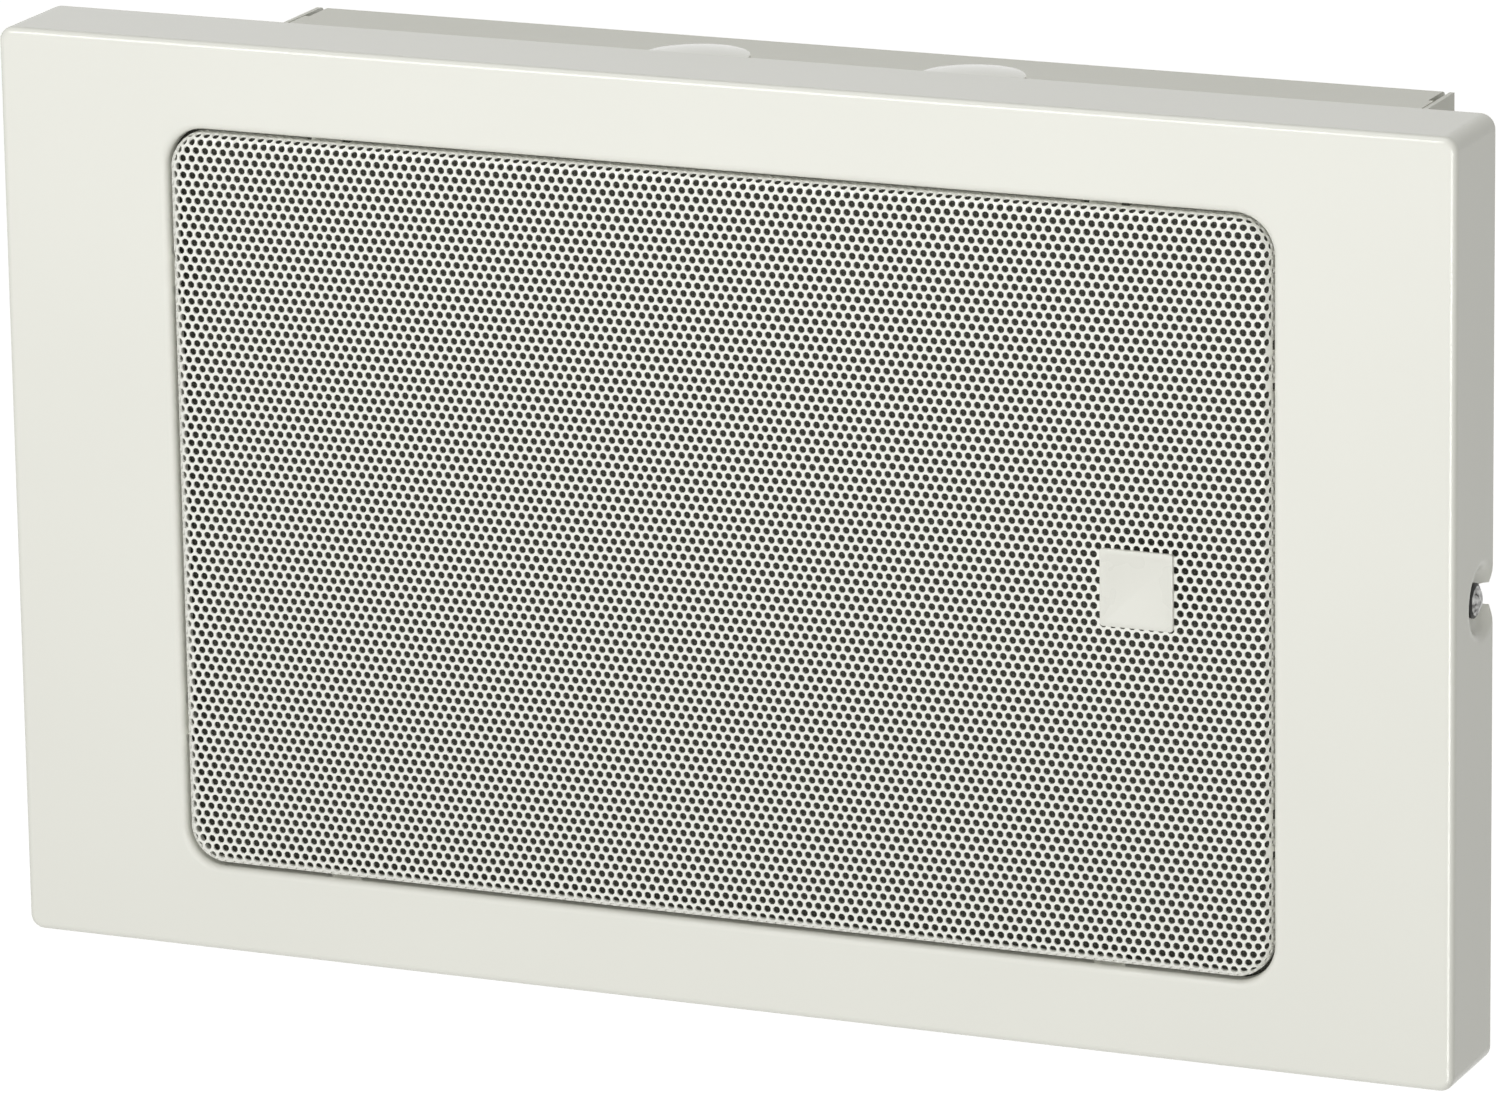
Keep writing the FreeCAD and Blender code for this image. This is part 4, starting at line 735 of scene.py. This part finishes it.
class SPEAKER_OT_front(bpy.types.Operator):
    """Make the bare badge plate and finish the dark cloth behind the grille"""
    bl_idname = "speaker.front"
    bl_label = "Make the badge and the cloth"

    def execute(self, context):
        colours = context.scene.speaker_colours
        middle = (BADGE_LOW + BADGE_HIGH) / 2
        span = BADGE_HIGH - BADGE_LOW
        rings = [(0.0, 0.0), (0.0, span.y - 0.00022), (0.00008, span.y - 0.00007), (0.00022, span.y),
                 (0.0011, span.y), (0.0013, span.y - 0.00006)]
        loops = []
        for inset, rise in rings:
            loop = rounded_loop(span.x / 2 - inset, span.z / 2 - inset, BADGE_CORNER)
            loops.append(np.column_stack([loop[:, 0] + middle.x, np.full(len(loop), BADGE_HIGH.y - rise),
                                          loop[:, 1] + middle.z]))
        badge = lofted("badge", loops)
        finish = moulded("badge_finish", colours.badge, rough=0.28)
        seat(badge, "cabinet", "badge_plastic", finish, "badge_plate")
        cover(woven("dark_cloth_finish", colours.cloth, CLOTH_THREADS), "speaker_cloth")
        return {"FINISHED"}


class SPEAKER_OT_side_screws(bpy.types.Operator):
    """Make the pan-head screws with crossed recesses in the panel's sides"""
    bl_idname = "speaker.side_screws"
    bl_label = "Make the side screws"

    def execute(self, context):
        low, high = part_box("side_screws")
        across = (high.z - low.z) / 2
        # the side screw heads take a painted shade ring at their edge and partly painted glints
        finish = screw_marks_and_painted_rim_shade("side_screw_marks_and_painted_rim_shade", context.scene.speaker_colours.screw, (low + high) / 2, across)
        for name, side in (("side_screw_left", -1), ("side_screw_right", 1)):
            screw = pan_head(name, across, SCREW_RISE, SCREW_THREAD, SCREW_SHANK)
            place = Vector((side * high.x, (low.y + high.y) / 2, (low.z + high.z) / 2))
            outward = Matrix.Rotation(side * math.pi / 2, 4, "Y")
            turned = Matrix.Rotation(math.radians(SCREW_TURN), 4, "X") @ outward
            screw.data.transform(Matrix.Translation(place) @ turned)
            seat(screw, "cabinet", "plated_steel", finish, "side_screws")
        return {"FINISHED"}


class SPEAKER_OT_driver(bpy.types.Operator):
    """Finish the loudspeaker driver behind the cloth"""
    bl_idname = "speaker.driver"
    bl_label = "Finish the driver"

    def execute(self, context):
        steel = context.scene.speaker_colours.steel
        cover(painted("frame_paint_finish", FRAME_BLACK, rough=0.45), "driver_basket")
        cover(moulded("gasket_rubber_finish", GASKET_BLACK, rough=0.8), "driver_gasket")
        cover(pulped("cone_paper_finish", CONE_PAPER), "speaker_cone", "dust_cap")
        cover(woven("surround_cloth_finish", SURROUND_BLACK, DRIVER_THREADS), "cone_surround")
        cover(woven("spider_cloth_finish", SPIDER_AMBER, DRIVER_THREADS), "spider")
        cover(pulped("former_paper_finish", FORMER_PAPER), "voice_coil_former")
        cover(wound("copper_wire_finish", COPPER, COIL_TURNS), "voice_coil_winding")
        cover(sintered("ferrite_finish", FERRITE), "magnet_ring")
        cover(plated("magnet_steel_finish", MAGNET_STEEL, rough=0.4), "magnet_top_plate", "magnet_yoke")
        cover(pulped("fibre_board_finish", FIBRE_BOARD, rough=0.6), "driver_terminal_board")
        cover(plated("tag_brass_finish", TAG_BRASS, rough=0.35), "driver_terminal_tags")
        cover(plated("driver_screw_finish", steel), "driver_screws")
        return {"FINISHED"}


class SPEAKER_OT_inside(bpy.types.Operator):
    """Finish the baffle, the line transformer and the terminal block"""
    bl_idname = "speaker.inside"
    bl_label = "Finish the inside"

    def execute(self, context):
        steel = context.scene.speaker_colours.steel
        cover(plated("zinc_sheet_finish", ZINC, rough=0.45), "baffle_plate", "transformer_bracket")
        cover(plated("inner_fixing_finish", steel), "weld_studs", "baffle_spacers", "baffle_nuts",
              "lug_nuts", "transformer_screws", "terminal_clamp_screws", "terminal_block_screws")
        cover(stacked("core_steel_finish", CORE_STEEL, CORE_SHEETS), "transformer_core")
        cover(moulded("bobbin_plastic_finish", BOBBIN_CREAM), "transformer_bobbin")
        cover(wound("winding_finish", COPPER, WINDING_TURNS), "transformer_winding")
        cover(moulded("block_plastic_finish", BLOCK_BLACK, rough=0.45), "terminal_block")
        return {"FINISHED"}


def seen_white(tree):
    """One where the camera, a reflection or a clear surface looks, zero elsewhere."""
    rays = tree.nodes.new("ShaderNodeLightPath")
    seen = rays.outputs["Is Camera Ray"]
    for name in ("Is Glossy Ray", "Is Transmission Ray"):
        most = tree.nodes.new("ShaderNodeMath")
        most.operation = "MAXIMUM"
        tree.links.new(seen, most.inputs[0])
        tree.links.new(rays.outputs[name], most.inputs[1])
        seen = most.outputs["Value"]
    return seen


def white_floor():
    """Pale floor that reads white and still takes a shadow."""
    material = bpy.data.materials.new("pale_floor")
    material.use_nodes = True
    tree = material.node_tree
    tree.nodes.clear()
    clouds = tree.nodes.new("ShaderNodeTexNoise")
    clouds.inputs["Scale"].default_value = FLOOR_CLOUDS
    ramp = tree.nodes.new("ShaderNodeValToRGB")
    ramp.color_ramp.elements[0].color = FLOOR_DARK
    ramp.color_ramp.elements[1].color = FLOOR_PALE
    tree.links.new(clouds.outputs["Fac"], ramp.inputs["Fac"])
    matt = tree.nodes.new("ShaderNodeBsdfDiffuse")
    tree.links.new(ramp.outputs["Color"], matt.inputs["Color"])
    glow = tree.nodes.new("ShaderNodeEmission")
    lift = tree.nodes.new("ShaderNodeMath")
    lift.operation = "MULTIPLY"
    lift.inputs[1].default_value = FLOOR_GLOW
    tree.links.new(seen_white(tree), lift.inputs[0])
    tree.links.new(lift.outputs["Value"], glow.inputs["Strength"])
    both = tree.nodes.new("ShaderNodeAddShader")
    tree.links.new(matt.outputs["BSDF"], both.inputs[0])
    tree.links.new(glow.outputs["Emission"], both.inputs[1])
    end = tree.nodes.new("ShaderNodeOutputMaterial")
    tree.links.new(both.outputs["Shader"], end.inputs["Surface"])
    return material


def soft_lamp(name, place, target, size, power):
    """A flat soft light that looks at a point."""
    data = bpy.data.lights.new(name, "AREA")
    data.shape = "RECTANGLE"
    data.size = size[0]
    data.size_y = size[1]
    data.energy = power
    lamp = bpy.data.objects.new(name, data)
    lamp.location = place
    lamp.visible_camera = False
    lamp.rotation_euler = (Vector(target) - Vector(place)).to_track_quat("-Z", "Y").to_euler()
    bpy.context.scene.collection.objects.link(lamp)
    return lamp


def sheen(name, place, target, size, spread, power):
    """A gridded light that only shows as a gleam on a fold."""
    lamp = soft_lamp(name, place, target, size, power)
    lamp.data.spread = math.radians(spread)
    lamp.visible_diffuse = False


class SPEAKER_OT_stage(bpy.types.Operator):
    """Set up the camera, the soft light, the floor and the white surroundings"""
    bl_idname = "speaker.stage"
    bl_label = "Set the stage"

    def execute(self, context):
        scene = context.scene
        sizes = scene.speaker_stage
        scene.view_settings.view_transform = "Standard"
        data = bpy.data.cameras.new("camera")
        data.sensor_width = SENSOR
        data.lens = sizes.focal * SENSOR / IMAGE_WIDTH
        data.clip_start = CLIP_START
        camera = bpy.data.objects.new("camera", data)
        turn = (Matrix.Rotation(sizes.turn, 4, "Z") @ Matrix.Rotation(sizes.tilt, 4, "X")
                @ Matrix.Rotation(sizes.roll, 4, "Y") @ Matrix.Rotation(math.pi / 2, 4, "X"))
        camera.matrix_world = Matrix.Translation(sizes.place) @ turn
        scene.collection.objects.link(camera)
        scene.camera = camera
        soft_lamp("key_light", KEY_PLACE, OBJECT_MIDDLE, KEY_SIZE, sizes.key)
        front = soft_lamp("front_light", FRONT_PLACE, FRONT_TARGET, FRONT_SIZE, sizes.front)
        front.visible_glossy = False
        soft_lamp("back_light", BACK_PLACE, BACK_TARGET, BACK_SIZE, sizes.back)
        sheen("fold_light", FOLD_PLACE, FOLD_TARGET, FOLD_SIZE, FOLD_SPREAD, sizes.fold)
        sheen("edge_light", EDGE_PLACE, EDGE_TARGET, EDGE_SIZE, EDGE_SPREAD, sizes.edge)
        world = bpy.data.worlds.new("white_room")
        world.use_nodes = True
        scene.world = world
        tree = world.node_tree
        back = tree.nodes["Background"]
        level = tree.nodes.new("ShaderNodeMapRange")
        level.inputs["To Min"].default_value = sizes.ambient
        level.inputs["To Max"].default_value = 1.0
        seen = seen_white(tree)
        tree.links.new(seen, level.inputs["Value"])
        tree.links.new(level.outputs["Result"], back.inputs["Strength"])
        room = tree.nodes.new("ShaderNodeValToRGB")
        room.color_ramp.elements[0].color = (*sizes.room, 1.0)
        room.color_ramp.elements[1].color = WHITE
        tree.links.new(seen, room.inputs["Fac"])
        tree.links.new(room.outputs["Color"], back.inputs["Color"])
        low = CAD_BOX[0][2] - sizes.floor_drop
        square = ((-1, -1), (1, -1), (1, 1), (-1, 1))
        corners = np.array([(x * FLOOR_HALF, y * FLOOR_HALF, low) for x, y in square])
        floor = mesh_piece("floor", corners, np.array([[0, 1, 2, 3]]))
        floor.data.materials.append(white_floor())
        return {"FINISHED"}


class SPEAKER_PT_panel(bpy.types.Panel):
    """Lists the pieces and the values behind them"""
    bl_idname = "SPEAKER_PT_panel"
    bl_label = "Paging speaker"
    bl_space_type = "VIEW_3D"
    bl_region_type = "UI"
    bl_category = "Speaker"

    def draw(self, context):
        layout = self.layout
        for operator in OPERATORS:
            layout.operator(operator.bl_idname)
        for group in GROUPS:
            values = getattr(context.scene, group)
            for value in GROUPS[group].__annotations__:
                layout.prop(values, value)


OPERATORS = [SPEAKER_OT_stage, SPEAKER_OT_cabinet, SPEAKER_OT_grille, SPEAKER_OT_front,
             SPEAKER_OT_side_screws, SPEAKER_OT_driver, SPEAKER_OT_inside]
GROUPS = {"speaker_grille": GrilleSizes, "speaker_colours": SpeakerColours, "speaker_stage": StageSizes}


def register():
    """Makes the values, the operators and the panel known to Blender."""
    for group in GROUPS:
        bpy.utils.register_class(GROUPS[group])
        setattr(bpy.types.Scene, group, PointerProperty(type=GROUPS[group]))
    for operator in OPERATORS:
        bpy.utils.register_class(operator)
    bpy.utils.register_class(SPEAKER_PT_panel)


def unregister():
    """Takes them away again, last first."""
    bpy.utils.unregister_class(SPEAKER_PT_panel)
    for operator in reversed(OPERATORS):
        bpy.utils.unregister_class(operator)
    for group in reversed(GROUPS):
        delattr(bpy.types.Scene, group)
        bpy.utils.unregister_class(GROUPS[group])


def main():
    """Builds the stage and the speaker."""
    register()
    bpy.ops.speaker.stage()
    bpy.ops.speaker.cabinet()
    bpy.ops.speaker.grille()
    bpy.ops.speaker.front()
    bpy.ops.speaker.side_screws()
    bpy.ops.speaker.driver()
    bpy.ops.speaker.inside()


if __name__ == "__main__":
    main()
